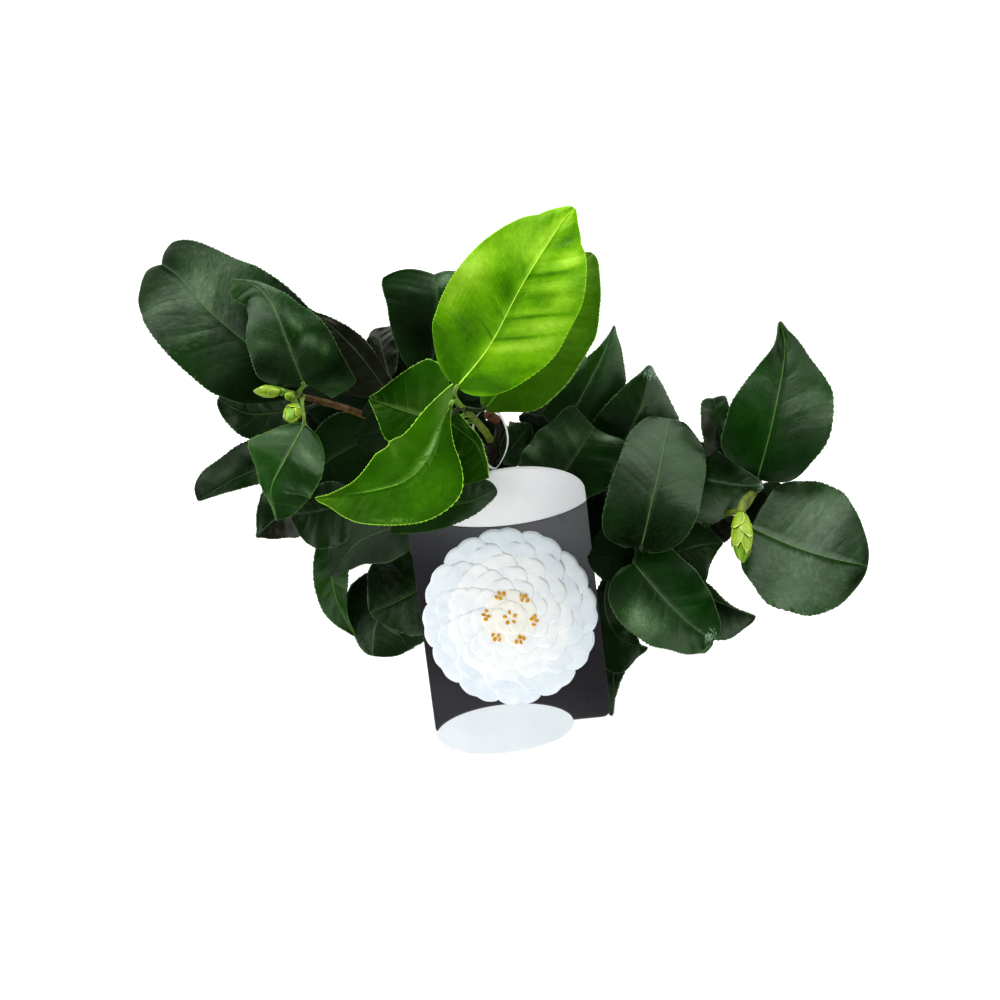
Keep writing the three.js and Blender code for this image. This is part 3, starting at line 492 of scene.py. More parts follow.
# ------------------------------------------------------------------ leaves that show
# Each: middle rib in the frame, heights along it, half widths to its left
# and right at six stations, lift of its left and right margins, towards the
# base and towards the tip where they differ.
STATIONS = [0.06, 0.2, 0.4, 0.6, 0.8, 0.94]
HEROES = {
    "L1": ([(300, 392), (255, 350), (208, 310), (180, 278), (161, 264)], [276.1, 282.1, 281.9, 279.7, 280.2], [24, 50, 61, 60, 56, 48], [32, 64, 69, 65, 51, 34], (-6.4, 1.7), (1.2, 2.4), "deep", "left"),
    "L2": ([(304, 385), (296, 365), (288, 343), (280, 322), (271, 303), (257, 287), (230, 280)], [281, 286.5, 292.6, 295.7, 296.1, 295.6, 293.2], [24, 40, 40, 28, 22, 19], [50, 46, 39, 20, 6, 2], (-6.5, -5.8), (-1.4, 0.3), "dark", "left"),
    "L3": ([(386, 390), (362, 358), (335, 330), (308, 308)], [268, 271.5, 272.9, 272.2], [22, 32, 32, 26, 16, 7], [10, 12, 14, 12, 6, 1], (-5, -4.9), (2.7, 1.5), "umber", "back_left"),
    "L4": ([(390, 378), (382, 350), (377, 328)], [256.3, 258.7, 258.6], [12, 15, 17, 16, 12, 7], [6, 11, 14, 16, 18, 18], (-8.1, 4.1), (-1.4, 1.5), "umber", "back_left"),
    "L5": ([(428, 386), (436, 340), (438, 300), (434, 274)], [272.5, 286.4, 297.6, 298.8], [14, 31, 43, 49, 52, 53], [12, 22, 34, 40, 37, 27], (4.4, -4.6), (-4, 3.7), "deep", "back_left"),
    "L6": ([(304, 424), (285, 460), (271, 490), (277, 521)], [278, 265.5, 261.6, 257.6], [21, 35, 40, 40, 42, 26], [12, 27, 41, 18, 3, 1], (-2.7, -1.3), (5, -0.6), "green", "left"),
    "L7": ([(386, 428), (355, 445), (328, 462), (312, 482)], [252, 248.6, 244.5, 239.6], [14, 26, 33, 33, 28, 20], [10, 26, 37, 34, 20, 8], (-6.9, -2.6), (1.4, 1.3), "deep", "left_low"),
    "L8": ([(292, 462), (262, 468), (232, 480), (198, 501)], [251.9, 242, 236.8, 229.8], [16, 16, 14, 11, 6, 2], [12, 31, 29, 25, 22, 15], (-2.8, -0.9), (8.6, 9.5), "deep", "left_low"),
    "L9": ([(308, 408), (280, 412), (255, 414), (236, 409), (218, 398)], [265.6, 261.7, 259, 258, 257.3], [10, 23, 28, 25, 16, 8], [9, 15, 21, 24, 23, 12], (-5.4, -1.1), (3.1, 4.7), "dark", "left"),
    "L10": ([(300, 500), (285, 512), (270, 524), (256, 537)], [235.8, 225.6, 222.3, 220], [6, 21, 28, 21, 13, 4], [9, 25, 30, 23, 11, 3], (-0.8, -3.2), (8.6, -1), "deep", "left_low"),
    "L11": ([(352, 505), (335, 508), (315, 512), (290, 515)], [249, 248, 246, 243], [22, 34, 38, 37, 29, 13], [19, 26, 27, 26, 23, 16], (-0.7, -3.2), (0.8, 1.4), "deep", "front_left"),
    "L12": ([(420, 521), (385, 530), (355, 545), (332, 577)], [244, 232, 217, 203], [16, 28, 31, 26, 15, 5], [6, 12, 18, 22, 18, 7], (-3.0, 1.9), (-0.7, 8.5), "deep", "front_left"),
    "L13": ([(333, 540), (331, 570), (338, 605), (355, 636)], [208, 200, 189.7, 180.5], [17, 18, 16, 11, 4, 1], [16, 17, 18, 17, 11, 4], (-0.4, 0.8), (1.4, 0.6), "green", "left_low"),
    "L14": ([(448, 590), (415, 602), (380, 618), (372, 656)], [196, 190.5, 187.3, 176.9], [23, 37, 41, 44, 47, 31], [14, 31, 43, 44, 23, 13], (-11.6, -4.3), (6.2, -4.4), "dark", "front_left"),
    "L15": ([(436, 575), (418, 590), (392, 604), (370, 613)], [211.7, 209, 204.7, 202.2], [17, 32, 42, 39, 23, 10], [32, 42, 45, 47, 40, 19], (1.2, -0.7), (3.9, 2.7), "dark", "front_left"),
    "C1": ([(456, 388), (490, 345), (522, 285), (558, 228), (574, 207)], [318.8, 329.3, 344.4, 348.7, 352], [37, 61, 66, 59, 37, 12], [28, 47, 63, 62, 43, 13], (7, -1.8), (-0.1, 2), "lime", "top"),
    "C2": ([(484, 410), (520, 365), (556, 305), (593, 253)], [302, 305.2, 305.2, 306.6], [14, 30, 36, 33, 25, 12], [17, 42, 50, 51, 36, 16], (-0.3, -4), (-7.3, 0.1), "shade", "top"),
    "C3": ([(452, 402), (442, 425), (430, 455), (412, 477), (385, 488), (345, 495), (315, 498)], [315.9, 309.9, 302.4, 298.9, 296.5, 293, 290.4], [4, 16, 48, 39, 28, 8], [10, 26, 41, 36, 10, 2], (-1.1, -1.8), (2.5, 2.6), "fresh", "top"),
    "C4": ([(444, 424), (420, 416), (395, 408), (369, 398)], [295.5, 293.7, 292.3, 291.2], [19, 27, 33, 33, 17, 6], [31, 51, 57, 46, 26, 7], (-7, -2.1), (6.9, 5.6), "mid", "top"),
    "C5": ([(447, 421), (462, 432), (478, 447), (489, 478)], [304, 301, 298.6, 293.6], [13, 11, 8, 5, 3, 1], [15, 29, 40, 39, 40, 36], (1, -0.5), (-6.7, -3.2), "mid", "top"),
    "C6": ([(392, 497), (430, 505), (465, 503), (497, 489)], [262, 266, 268, 264], [19, 24, 28, 28, 24, 14], [37, 32, 25, 18, 11, 7], (0, 0), (-4, -4), "deep", "front_left"),
    "C8": ([(500, 462), (512, 448), (522, 436), (531, 424)], [237.9, 242.7, 246.8, 250.3], [4, 10, 13, 16, 14, 6], [12, 14, 15, 14, 9, 4], (2.4, 0.4), (-1.7, -2), "dark", "centre"),
    "R1": ([(558, 432), (578, 402), (600, 360), (614, 325)], [256.3, 263.6, 269.8, 274.2], [24, 24, 17, 15, 5, 1], [18, 32, 36, 33, 18, 5], (0.1, -0.4), (-7, -6), "dark", "centre"),
    "R2": ([(600, 470), (628, 436), (643, 400), (650, 365)], [250.1, 260.9, 269.6, 276.1], [29, 37, 37, 31, 20, 6], [20, 34, 44, 42, 21, 6], (5.2, -4.1), (-2.2, -12.5), "dark", "centre"),
    "R3": ([(538, 505), (553, 487), (568, 468), (582, 447), (594, 427)], [242.2, 253.8, 257.8, 261.9, 267.3], [32, 40, 46, 45, 40, 34], [21, 28, 35, 44, 41, 37], (-0.3, -4.3), (-3.6, -6), "dark", "centre"),
    "R4": ([(641, 548), (646, 528), (652, 500), (660, 465), (669, 418)], [264, 269.5, 274, 273.5, 268], [38, 45, 45, 41, 38, 27], [26, 43, 48, 47, 41, 26], (-2.1, -2.8), (-5, -8), "dark", "right_near"),
    "R5": ([(633, 562), (660, 594), (690, 624), (714, 641)], [259, 257.7, 256.7, 254], [31, 39, 42, 39, 31, 21], [33, 46, 48, 42, 30, 19], (0.1, 0.4), (-11.3, -12.5), "dark", "right_near"),
    "R6": ([(652, 560), (675, 553), (700, 546), (723, 542)], [248.1, 248.7, 247.4, 245.4], [6, 21, 25, 27, 18, 6], [24, 35, 40, 37, 18, 5], (0.2, 4.1), (-2.7, -2.5), "deep", "right_near"),
    "R7": ([(672, 572), (700, 592), (730, 607), (756, 617)], [240, 237.8, 234.3, 229.5], [9, 14, 11, 5, 1, 1], [8, 24, 35, 38, 31, 13], (0.3, 0.2), (2.4, -6), "dark", "right_near"),
    "R8": ([(684, 474), (705, 480), (735, 485), (764, 487)], [257, 263, 265, 268], [36, 35, 30, 22, 14, 6], [16, 38, 43, 30, 15, 5], (5.9, -0.1), (-14.0, -8.5), "deep", "right_near"),
    "R9": ([(757, 480), (765, 452), (773, 420), (782, 375), (785, 345), (780, 321)], [263.5, 271, 276, 278, 279.5, 281], [32, 46, 45, 33, 15, 5], [34, 48, 59, 53, 22, 4], (1.5, 1.1), (4.7, 7.3), "dark", "right"),
    "R10": ([(750, 527), (790, 545), (830, 558), (868, 566)], [262, 263.4, 267.1, 268.5], [49, 62, 69, 68, 53, 28], [38, 50, 63, 62, 48, 24], (-3.2, -0.4), (4.1, 1.1), "dark", "right"),
    "R12": ([(738, 520), (728, 528), (718, 534), (708, 537)], [249.7, 247.1, 245, 243.8], [1, 4, 8, 10, 8, 4], [8, 11, 13, 12, 11, 3], (-0.4, -0.6), (0.4, 1.8), "umber", "right"),
    "R14": ([(725, 480), (721, 440), (717, 415), (713, 398)], [258.4, 269.4, 274.7, 276.3], [7, 14, 17, 17, 16, 13], [4, 8, 11, 12, 13, 13], (-0.6, 2.2), (-1.1, 3.1), "deep", "right"),
    "R15": ([(616, 564), (605, 592), (608, 620), (622, 640), (648, 648)], [229.8, 220.5, 206, 201.4, 198], [15, 23, 25, 24, 20, 1], [4, 7, 12, 21, 33, 10], (-2.3, 3.1), (-4, -5.7), "deep", "front_right"),
    # I leaves: inner leaves seen in the gaps, in the near-black inner look as painted shade.
    "I1": ([(392, 424), (362, 411), (332, 402), (300, 394)], [234, 240, 242, 238], [14, 26, 31, 29, 21, 10], [14, 26, 29, 27, 20, 10], -3, -3, "inner", "back_left"),
    "I2": ([(352, 446), (336, 432), (320, 421), (304, 411)], [230, 234, 236, 234], [8, 13, 15, 14, 10, 5], [8, 13, 15, 14, 10, 5], -2, -2, "inner", "left_low"),
    "I12": ([(514, 448), (504, 440), (495, 431), (486, 421)], [214, 218, 220, 218], [8, 11, 12, 11, 8, 4], [8, 11, 12, 11, 8, 4], -2, -2, "inner", "centre"),
    "I13": ([(514, 470), (502, 455), (490, 440), (478, 424)], [204, 208, 210, 208], [8, 14, 16, 15, 10, 4], [8, 13, 15, 13, 9, 4], -2, -2, "inner", "centre"),
    "I3": ([(406, 400), (403, 374), (400, 350), (398, 332)], [238, 244, 248, 246], [8, 13, 15, 13, 8, 3], [8, 13, 15, 13, 8, 3], -2, -2, "inner", "back_left"),
    "I5": ([(588, 452), (600, 425), (612, 395), (620, 372)], [232, 238, 242, 240], [10, 16, 18, 16, 10, 5], [10, 16, 18, 16, 10, 5], -2, -2, "inner", "centre"),
    "I6": ([(742, 524), (755, 508), (768, 495), (781, 484)], [238, 244, 246, 242], [6, 10, 14, 14, 11, 6], [6, 10, 14, 14, 11, 6], -1, -1, "inner", "right"),
    "I7": ([(570, 530), (584, 512), (597, 494), (606, 478)], [226, 232, 236, 234], [8, 14, 16, 14, 9, 4], [30, 28, 22, 16, 10, 4], -2, -2, "inner", "centre"),
    "I8": ([(638, 552), (622, 553), (606, 556), (588, 560)], [250, 250, 247, 240], [8, 18, 24, 26, 22, 12], [10, 20, 26, 26, 20, 10], -2, -2, "inner", "right_near"),
    "I10": ([(480, 440), (470, 416), (462, 396), (456, 376)], [240, 246, 248, 246], [8, 16, 20, 20, 14, 8], [6, 12, 15, 15, 12, 7], -2, -2, "inner", "top"),
    "I11": ([(568, 442), (552, 432), (536, 424), (519, 416)], [238, 242, 244, 242], [8, 12, 13, 11, 7, 4], [8, 13, 13, 11, 7, 4], -2, -2, "inner", "centre"),
    "R16": ([(606, 640), (612, 665), (614, 690), (612, 716)], [196, 189.3, 183.1, 174.9], [16, 17, 13, 5, 1, 1], [16, 20, 21, 19, 13, 6], (1.4, -0), (-3, -3), "dark", "front_right"),
}
# blunt or notched ends: half width at the very end, how far the half's
# middle and its corner reach past it, left then right
ENDS = {
    "L1": (24, 8.0, 4.5, 18, 3.0, 4.0),
    "L5": (48, 9.0, 6.0, 19, 1.0, 0.0),
    "R5": (6, 1.0, 0.0, 12, 1.0, 0.0),
    "R14": (9, 1.0, 1.0, 11, 1.0, 0.0),
    "R3": (26, 2.0, 8.0, 28, -1.0, 4.0),
    "R4": (14, 0.0, -1.0, 11, 0.0, -1.0),
}
# how far the left and right halves reach back past the stalk
BACK = {"L2": (0, 24), "C3": (0, 24), "R5": (14, 4), "R4": (5, 4)}
# margin wave, puckering between the veins and number of veins
RELIEF = {
    "L2": (0.9, 0.42, 6), "L6": (0.9, 0.35, 5), "R3": (1.0, 0.32, 6), "L1": (0.5, 0.14, 8), "C1": (0.6, 0.30, 8),
    "C3": (0.6, 0.12, 7), "R5": (0.8, 0.24, 6), "R9": (0.5, 0.16, 6), "R10": (0.4, 0.10, 6), "R8": (0.6, 0.2, 5),
    "L14": (0.6, 0.14, 6), "L15": (0.5, 0.14, 6), "R4": (0.5, 0.14, 6), "C2": (0.5, 0.16, 7),
}


class Shown:
    """A leaf laid out in the camera's frame, with its own heights."""

    def __init__(self, key):
        self.key = key
        mid, z, wl, wr, zl, zr, self.look, self.mass = HEROES[key]
        self.zl, self.zr = [v if isinstance(v, tuple) else (v, v) for v in (zl, zr)]
        n = 241
        pts = [np.array((a[0], a[1], h), float) for a, h in zip(mid, z)]
        seg = [np.linalg.norm(b[:2] - a[:2]) for a, b in zip(pts[:-1], pts[1:])]
        cum = np.r_[0, np.cumsum(seg)] / sum(seg)
        p = [2 * pts[0] - pts[1]] + pts + [2 * pts[-1] - pts[-2]]
        self.t = np.linspace(0, 1, n)
        M = []
        for t in self.t:
            i = min(max(int(np.searchsorted(cum, t, side="right")) - 1, 0), len(cum) - 2)
            f = (t - cum[i]) / (cum[i + 1] - cum[i])
            a, b, c, d = p[i:i + 4]
            M.append(0.5 * (2 * b + (c - a) * f + (2 * a - 5 * b + 4 * c - d) * f * f + (3 * b - a - 3 * c + d) * f ** 3))
        self.mid = np.array(M)
        i = np.arange(n)
        d = self.mid[np.minimum(i + 9, n - 1), :2] - self.mid[np.maximum(i - 9, 0), :2]
        self.dir = unit(d)
        self.end = ENDS.get(key, (0, 0, 0, 0, 0, 0))
        self.back = BACK.get(key, (0, 0))
        self.wl = self.widths(wl, self.end[0])
        self.wr = self.widths(wr, self.end[3])
        self.length = length_of(at_height(self.mid[:, 0], self.mid[:, 1], self.mid[:, 2]))

    def widths(self, w, last):
        xs = np.array([0] + [math.acos(1 - 2 * s) for s in STATIONS] + [math.pi])
        ys = np.array([0.0] + [float(v) for v in w] + [float(last)])
        m = np.zeros(len(xs))
        sl = np.diff(ys) / np.diff(xs)
        m[0], m[-1] = sl[0], sl[-1]
        for j in range(1, len(xs) - 1):
            m[j] = 0 if sl[j - 1] * sl[j] <= 0 else 2 * sl[j - 1] * sl[j] / (sl[j - 1] + sl[j])
        x = np.arccos(np.clip(1 - 2 * self.t, -1, 1))
        i = np.clip(np.searchsorted(xs, x, side="right") - 1, 0, len(xs) - 2)
        h = xs[i + 1] - xs[i]
        f = (x - xs[i]) / h
        return np.maximum(0, (2 * f ** 3 - 3 * f * f + 1) * ys[i] + (f ** 3 - 2 * f * f + f) * h * m[i]
                          + (-2 * f ** 3 + 3 * f * f) * ys[i + 1] + (f ** 3 - f * f) * h * m[i + 1])

    def half(self, side, t):
        """Half width in millimetres on one side."""
        return np.interp(t, self.t, self.wl if side < 0 else self.wr) * SCALE

    def at(self, s, t):
        s, t = np.broadcast_arrays(np.asarray(s, float), np.asarray(t, float))
        mu, mv, mz = (np.interp(t, self.t, self.mid[:, k]) for k in range(3))
        du, dv = (np.interp(t, self.t, self.dir[:, k]) for k in range(2))
        w = np.where(s < 0, np.interp(t, self.t, self.wl), np.interp(t, self.t, self.wr)) * np.abs(s)
        sign = np.where(s < 0, 1.0, -1.0)
        a = np.abs(s)
        e = self.end
        fm = np.where(s < 0, e[1], e[4])
        fe = np.where(s < 0, e[2], e[5])
        fwd = (fe * a ** 2 + fm * 4 * a * np.maximum(0, 1 - a) * 0.9) * smooth(0.82, 1.0, t)
        fwd = fwd - np.where(s < 0, *self.back) * a ** 1.5 * (1 - smooth(0.02, 0.3, t))
        u = mu + dv * sign * w + du * fwd
        v = mv - du * sign * w + dv * fwd
        env = np.sin(math.pi * np.clip(t, 0, 1)) ** 0.6
        lift = [np.interp(t, [0.15, 0.85], v) for v in (self.zl, self.zr)]
        z = mz + np.where(s < 0, lift[0], lift[1]) * env * a ** 1.2
        return at_height(u, v, z)


class Grown:
    """A leaf grown from its stalk: base, direction, upper side, length, half
    width, downward bend, fold of its halves and the way it turns aside."""

    key = None

    def __init__(self, base, along, up, length, half, bend, fold, turn, look, mass):
        self.base = np.array(base, float)
        self.d = unit(along)
        n = np.array(up, float)
        self.n = unit(n - self.d * (n @ self.d))
        self.b = np.cross(self.d, self.n)
        self.length, self.w, self.bend, self.fold, self.turn = length, half, bend, fold, turn
        self.look, self.mass = look, mass

    def profile(self, t):
        t = np.clip(t, 0, 1)
        f = t ** 0.62 * (1 - t) ** 0.74
        return f / 0.3867

    def half(self, side, t):
        return self.w * self.profile(np.asarray(t, float))

    def at(self, s, t):
        s, t = np.broadcast_arrays(np.asarray(s, float), np.asarray(t, float))
        k = self.bend
        a = k * t
        x = self.length * np.sin(a) / k
        y = -self.length * (1 - np.cos(a)) / k
        n = np.cos(a)[..., None] * self.n + np.sin(a)[..., None] * self.d
        w = self.w * self.profile(t)
        side = s * w + self.turn * self.length * t ** 2
        lift = self.fold * w * np.abs(s) ** 1.5
        return self.base + x[..., None] * self.d + y[..., None] * self.n + side[..., None] * self.b + lift[..., None] * n


def leaf(batch, L, step, cols, veins, wave, pucker, seed, thick=0.34):
    """One closed leaf: upper face with midrib, veins and rim, toothed margin, underside."""
    r = random.Random(seed)
    length = L.length
    # rows: even ones, and a close pair along each vein
    shear = float(np.clip(0.75 * max(np.max(L.half(sd, np.linspace(0.1, 0.9, 9))) for sd in (-1, 1)) / length, 0.17, 0.30))
    marks = {-1: [], 1: []}
    for k in range(veins):
        f = (k + 0.55) / veins * 0.88 + 0.02
        marks[-1].append(min(0.93, f + r.uniform(-0.1, 0.1) / veins))
        marks[1].append(min(0.93, f + (0.44 + r.uniform(-0.1, 0.1)) / veins))
    rows = [(0.0, 0, 0.0)]
    lines = sorted([(t, -1) for t in marks[-1]] + [(t, 1) for t in marks[1]])
    lines.append((1.0, 0))
    last = 0.0
    for t, sd in lines:
        gap = t - last
        n = max(1, int(round(gap * length / step)))
        for k in range(1, n):
            rows.append((last + gap * k / n, 0, 0.0))
        if sd:
            rows.append((t, sd, -1.0))
            rows.append((t, sd, 1.0))
        else:
            rows.append((1.0, 0, 0.0))
        last = t
    tau = np.array([q[0] for q in rows])
    vside = np.array([q[1] for q in rows])
    vdir = np.array([q[2] for q in rows])
    tau = 0.004 + tau * 0.993
    c = np.array([0.0] + list(cols))
    rim_mm = 0.16 if L.look in ("lime", "fresh", "mid", "shade") else 0.24
    out = []
    for side in (-1, 1):
        C = np.broadcast_to(c[None, :], (len(tau), len(c))).copy()
        T = tau[:, None] + shear * 4 * tau[:, None] * (1 - tau[:, None]) * C * (1 - 0.25 * C)
        # vein strip: narrower towards the margin
        T += vdir[:, None] * (0.11 / length) * (1 - 0.55 * C) * (C < 0.97)
        T = np.clip(T, 0.003, 0.9985)
        T = np.maximum.accumulate(T, axis=0)
        W = np.maximum(L.half(side, T), 0.06)
        ribw = np.minimum((0.33 - 0.22 * T) * min(1.0, length / 70), 0.4 * W)
        smid = ribw / W
        rim = np.clip(rim_mm / W, 0, 0.3)
        A = smid + (1 - rim - smid) * C
        out.append((A, T, W, C, smid))
    # fine teeth
    idx = np.arange(len(tau))
    tooth = (idx % 2) * 0.46 * smooth(0.04, 0.16, tau) * (1 - smooth(0.955, 0.995, tau))
    phase = [r.uniform(0, TAU) for _ in range(8)]
    freq = r.uniform(2.1, 3.3)
    swell = {sd: np.array([r.uniform(0.15, 1.0) for _ in range(veins + 2)]) for sd in (-1, 1)}

    def height(side, A, T, C, tau_c):
        v = np.array(marks[side])
        a = np.r_[-0.06, v, 1.06]
        i = np.clip(np.searchsorted(a, tau_c, side="right") - 1, 0, len(a) - 2)
        ph = (tau_c - a[i]) / (a[i + 1] - a[i])
        h = pucker * swell[side][i] * np.sin(math.pi * ph) ** 2 * np.sin(math.pi * np.clip(C, 0, 1)) ** 0.8
        near = np.minimum(np.abs(tau_c - a[i]), np.abs(tau_c - a[i + 1])) * length
        h = h - 0.06 * np.exp(-(near / 0.5) ** 2) * (C > 0) * (1 - C)
        k = 0 if side < 0 else 3
        h = h + wave * np.sin(TAU * freq * T + phase[k]) * np.abs(C) ** 2.2 * np.sin(math.pi * np.clip(T, 0, 1)) ** 0.5
        h = h + 0.22 * np.sin(TAU * 1.7 * T + phase[k + 1] + 2.2 * C) * np.sin(math.pi * np.clip(C, 0, 1))
        ripple = np.sin(TAU * length / 4.3 * tau_c + phase[k + 2] + 1.3 * np.sin(TAU * 2.3 * tau_c + phase[6]))
        h = h + 0.045 * ripple * np.sin(math.pi * np.clip(C, 0, 1)) * (0.5 + 0.5 * np.sin(TAU * 1.3 * T + phase[7]))
        return h

    # columns from the left margin to the right one
    Ls, Rs = out
    ext = []
    for side, (A, T, W, C, smid) in ((-1, Ls), (1, Rs)):
        edge = 1.0 + tooth[:, None] / W[:, -1:]
        A2 = np.concatenate([A, edge], 1)
        T2 = np.concatenate([T, T[:, -1:]], 1)
        C2 = np.concatenate([C, np.full((len(tau), 1), 1.0)], 1)
        H = height(side, A2, T2, C2, tau[:, None])
        ext.append((A2, T2, C2, H))
    (AL, TL, CL, HL), (AR, TR, CR, HR) = ext
    A = np.concatenate([-AL[:, ::-1], np.zeros((len(tau), 1)), AR], 1)
    T = np.concatenate([TL[:, ::-1], tau[:, None], TR], 1)
    H = np.concatenate([HL[:, ::-1], np.zeros((len(tau), 1)), HR], 1)
    C = np.concatenate([-CL[:, ::-1], np.zeros((len(tau), 1)), CR], 1)
    nr, nc = A.shape
    P = L.at(A, T)
    e = 0.004
    dt = L.at(A, np.clip(T + e, 0, 1)) - L.at(A, np.clip(T - e, 0, 1))
    s0 = np.clip(A, -0.97, 0.97)
    ds = L.at(s0 + 0.03, T) - L.at(s0 - 0.03, T)
    N = np.cross(dt, ds)
    N = N * np.sign(np.where(np.abs(N[..., 2:3]) < 1e-9, 1.0, 1.0))
    ln = np.linalg.norm(N, axis=-1, keepdims=True)
    Nm = unit(N.sum((0, 1)))
    N = np.where(ln > 1e-7, N / np.maximum(ln, 1e-9), Nm)
    # one side of the surface throughout
    flip = (N @ Nm) < -0.2
    N[flip] = Nm
    up = 1.0 if isinstance(L, Grown) else np.sign(Nm @ NEAR)
    if isinstance(L, Grown):
        up = np.sign(Nm @ L.n)
    N = N * up
    mid = nc // 2
    H[:, mid] = 0.16 * (1 - 0.7 * tau)
    H[:, mid - 1] -= 0.06
    H[:, mid + 1] -= 0.06
    top = P + N * H[..., None]
    th = thick * (0.55 + 0.45 * (1 - np.abs(C) ** 6))
    th[:, mid] += 0.55 * (1 - 0.75 * tau)
    th[:, mid - 1] += 0.16 * (1 - 0.75 * tau)
    th[:, mid + 1] += 0.16 * (1 - 0.75 * tau)
    taper = smooth(0.0, 0.02, tau)[:, None] * 0.7 + 0.3
    bottom = top - N * (th * taper)[..., None]
    V = np.concatenate([top.reshape(-1, 3), bottom.reshape(-1, 3)])
    ids = LOOKS[L.look]
    # which way round the faces go
    q = top[nr // 2, mid + 1] - top[nr // 2, mid]
    w = top[nr // 2 + 1, mid] - top[nr // 2, mid]
    out_ok = np.cross(q, w) @ N[nr // 2, mid] > 0
    F = grid_faces(nr, nc, flip=not out_ok)
    M = np.full((nr - 1, nc - 1), ids[0])
    M[:, 0] = ids[3]
    M[:, -1] = ids[3]
    M[:, mid - 1] = ids[1]
    M[:, mid] = ids[1]
    for i in range(nr - 1):
        stop = max(1, int(len(c) * r.uniform(0.1, 0.5)))
        if vside[i] and vdir[i] < 0:
            if vside[i] < 0:
                M[i, 1 + stop:mid - 1] = ids[2]
            else:
                M[i, mid + 1:nc - 2 - stop] = ids[2]
    # Places from PLACES: mostly painted sheen and highlight upwards and painted shade downwards, a few the leaf's own
    # lime, brown or dust.
    for ups, downs, lean, loose, spots in PLACES.get(L.key, []):
        a = 0.25 * (C[1:, 1:] + C[:-1, 1:] + C[1:, :-1] + C[:-1, :-1])
        t = 0.25 * (T[1:, 1:] + T[:-1, 1:] + T[1:, :-1] + T[:-1, :-1]) - lean * np.abs(a)
        val = sum(w * np.exp(-((a - ca) / ra) ** 2 - ((t - ct) / rt) ** 2) for ca, ct, ra, rt, w in spots)
        val = val + np.random.default_rng(seed + 900).uniform(-loose, loose, val.shape)
        on = np.ones(val.shape, bool)
        on[:, [0, -1]] = False
        if L.key != "C3":
            on[:, mid - 1:mid + 1] = False
        for side, mats in ((1, ups), (-1, downs)):
            for k, mat in enumerate(mats):
                M[on & (side * val > (k + 0.6) / (len(mats) + 0.4))] = mat
    Fb = grid_faces(nr, nc, flip=out_ok) + nr * nc
    Mb = np.full((nr - 1, nc - 1), ids[4])
    Mb[:, mid - 1] = ids[5]
    Mb[:, mid] = ids[5]
    # margin walls and the two ends
    i = np.arange(nr - 1)
    k = nr * nc
    walls = []
    for col, rev in ((0, not out_ok), (nc - 1, out_ok)):
        a, b = i * nc + col, (i + 1) * nc + col
        f = np.stack([a, b, b + k, a + k], 1)
        walls.append(f[:, ::-1] if rev else f)
    j = np.arange(nc - 1)
    for row, rev in ((0, out_ok), (nr - 1, not out_ok)):
        a, b = row * nc + j, row * nc + j + 1
        f = np.stack([a, b, b + k, a + k], 1)
        walls.append(f[:, ::-1] if rev else f)
    Fw = np.concatenate(walls)
    batch.add(V, np.concatenate([F.reshape(-1, 4), Fb.reshape(-1, 4), Fw]),
              np.concatenate([M.ravel(), Mb.ravel(), np.full(len(Fw), ids[3])]))
    return top[0, mid], unit(top[2, mid] - top[0, mid]), N[0, mid]


# ------------------------------------------------------------------ stem and boughs
STEM_LEAN = [[0, 0, 0], [1.5, -2, 45], [-1, -2, 95], [-4, 3, 180], [-4, -1, 262], [-10, -1, 285], [-17, -2, 306]]
HEARTS = {
    "top": (-17, -2, 306), "left": (-85, 14, 276), "right": (104, -32, 264), "right_near": (62, -48, 254),
    "back_left": (-42, 20, 270), "centre": (27, -6, 250), "left_low": (-74, -15, 242), "front_left": (-38, -34, 208),
    "front_right": (49, -64, 208), "low_back_left": (-54, 46, 186), "low_back_right": (58, 26, 174),
    "low_left": (-52, 8, 148), "low_right": (56, -4, 148), "low_back": (6, 56, 142), "low_front": (4, -38, 132),
}
BOUGHS = {
    "left": (118, [[-30, 8, 186], [-55, 14, 248]]),
    "left_low": (84, [[-27, -13, 146], [-56, -17, 206]]),
    "back_left": (176, [[-16, 10, 214], [-33, 18, 250]]),
    "front_left": (104, [[-14, -19, 142], [-30, -31, 186]]),
    "centre": (188, [[6, -3, 214], [17, -6, 234]]),
    "right_near": (134, [[26, -20, 186], [50, -40, 232]]),
    "right": (94, [[34, -8, 158], [80, -22, 226]]),
    "front_right": (112, [[22, -30, 150], [42, -56, 190]]),
    "low_left": (66, [[-22, 2, 104], [-42, 7, 136]]),
    "low_back_left": (142, [[-20, 26, 164], [-40, 47, 184]]),
    "low_back": (74, [[-1, 22, 108], [4, 44, 138]]),
    "low_back_right": (126, [[20, 18, 152], [50, 34, 180]]),
    "low_right": (58, [[20, -3, 98], [44, -4, 134]]),
    "low_front": (48, [[3, -14, 78], [4, -28, 110]]),
}
ON = {
    "left": [(-94, 15, 280)], "front_left": [(-43, -30, 236), (-46, -27, 256)], "right": [tuple(at_height(756, 486, 262))],
    "back_left": [(-44, 20, 276)], "centre": [(31, -6, 255)],
    "left_low": [(-75, -16, 240)],
}
END = {"front_right": (46, -61, 200)}
stem_line = spline(STEM_LEAN, 230)


def stem_at(z):
    return np.array([np.interp(z, stem_line[:, 2], stem_line[:, k]) for k in range(3)])


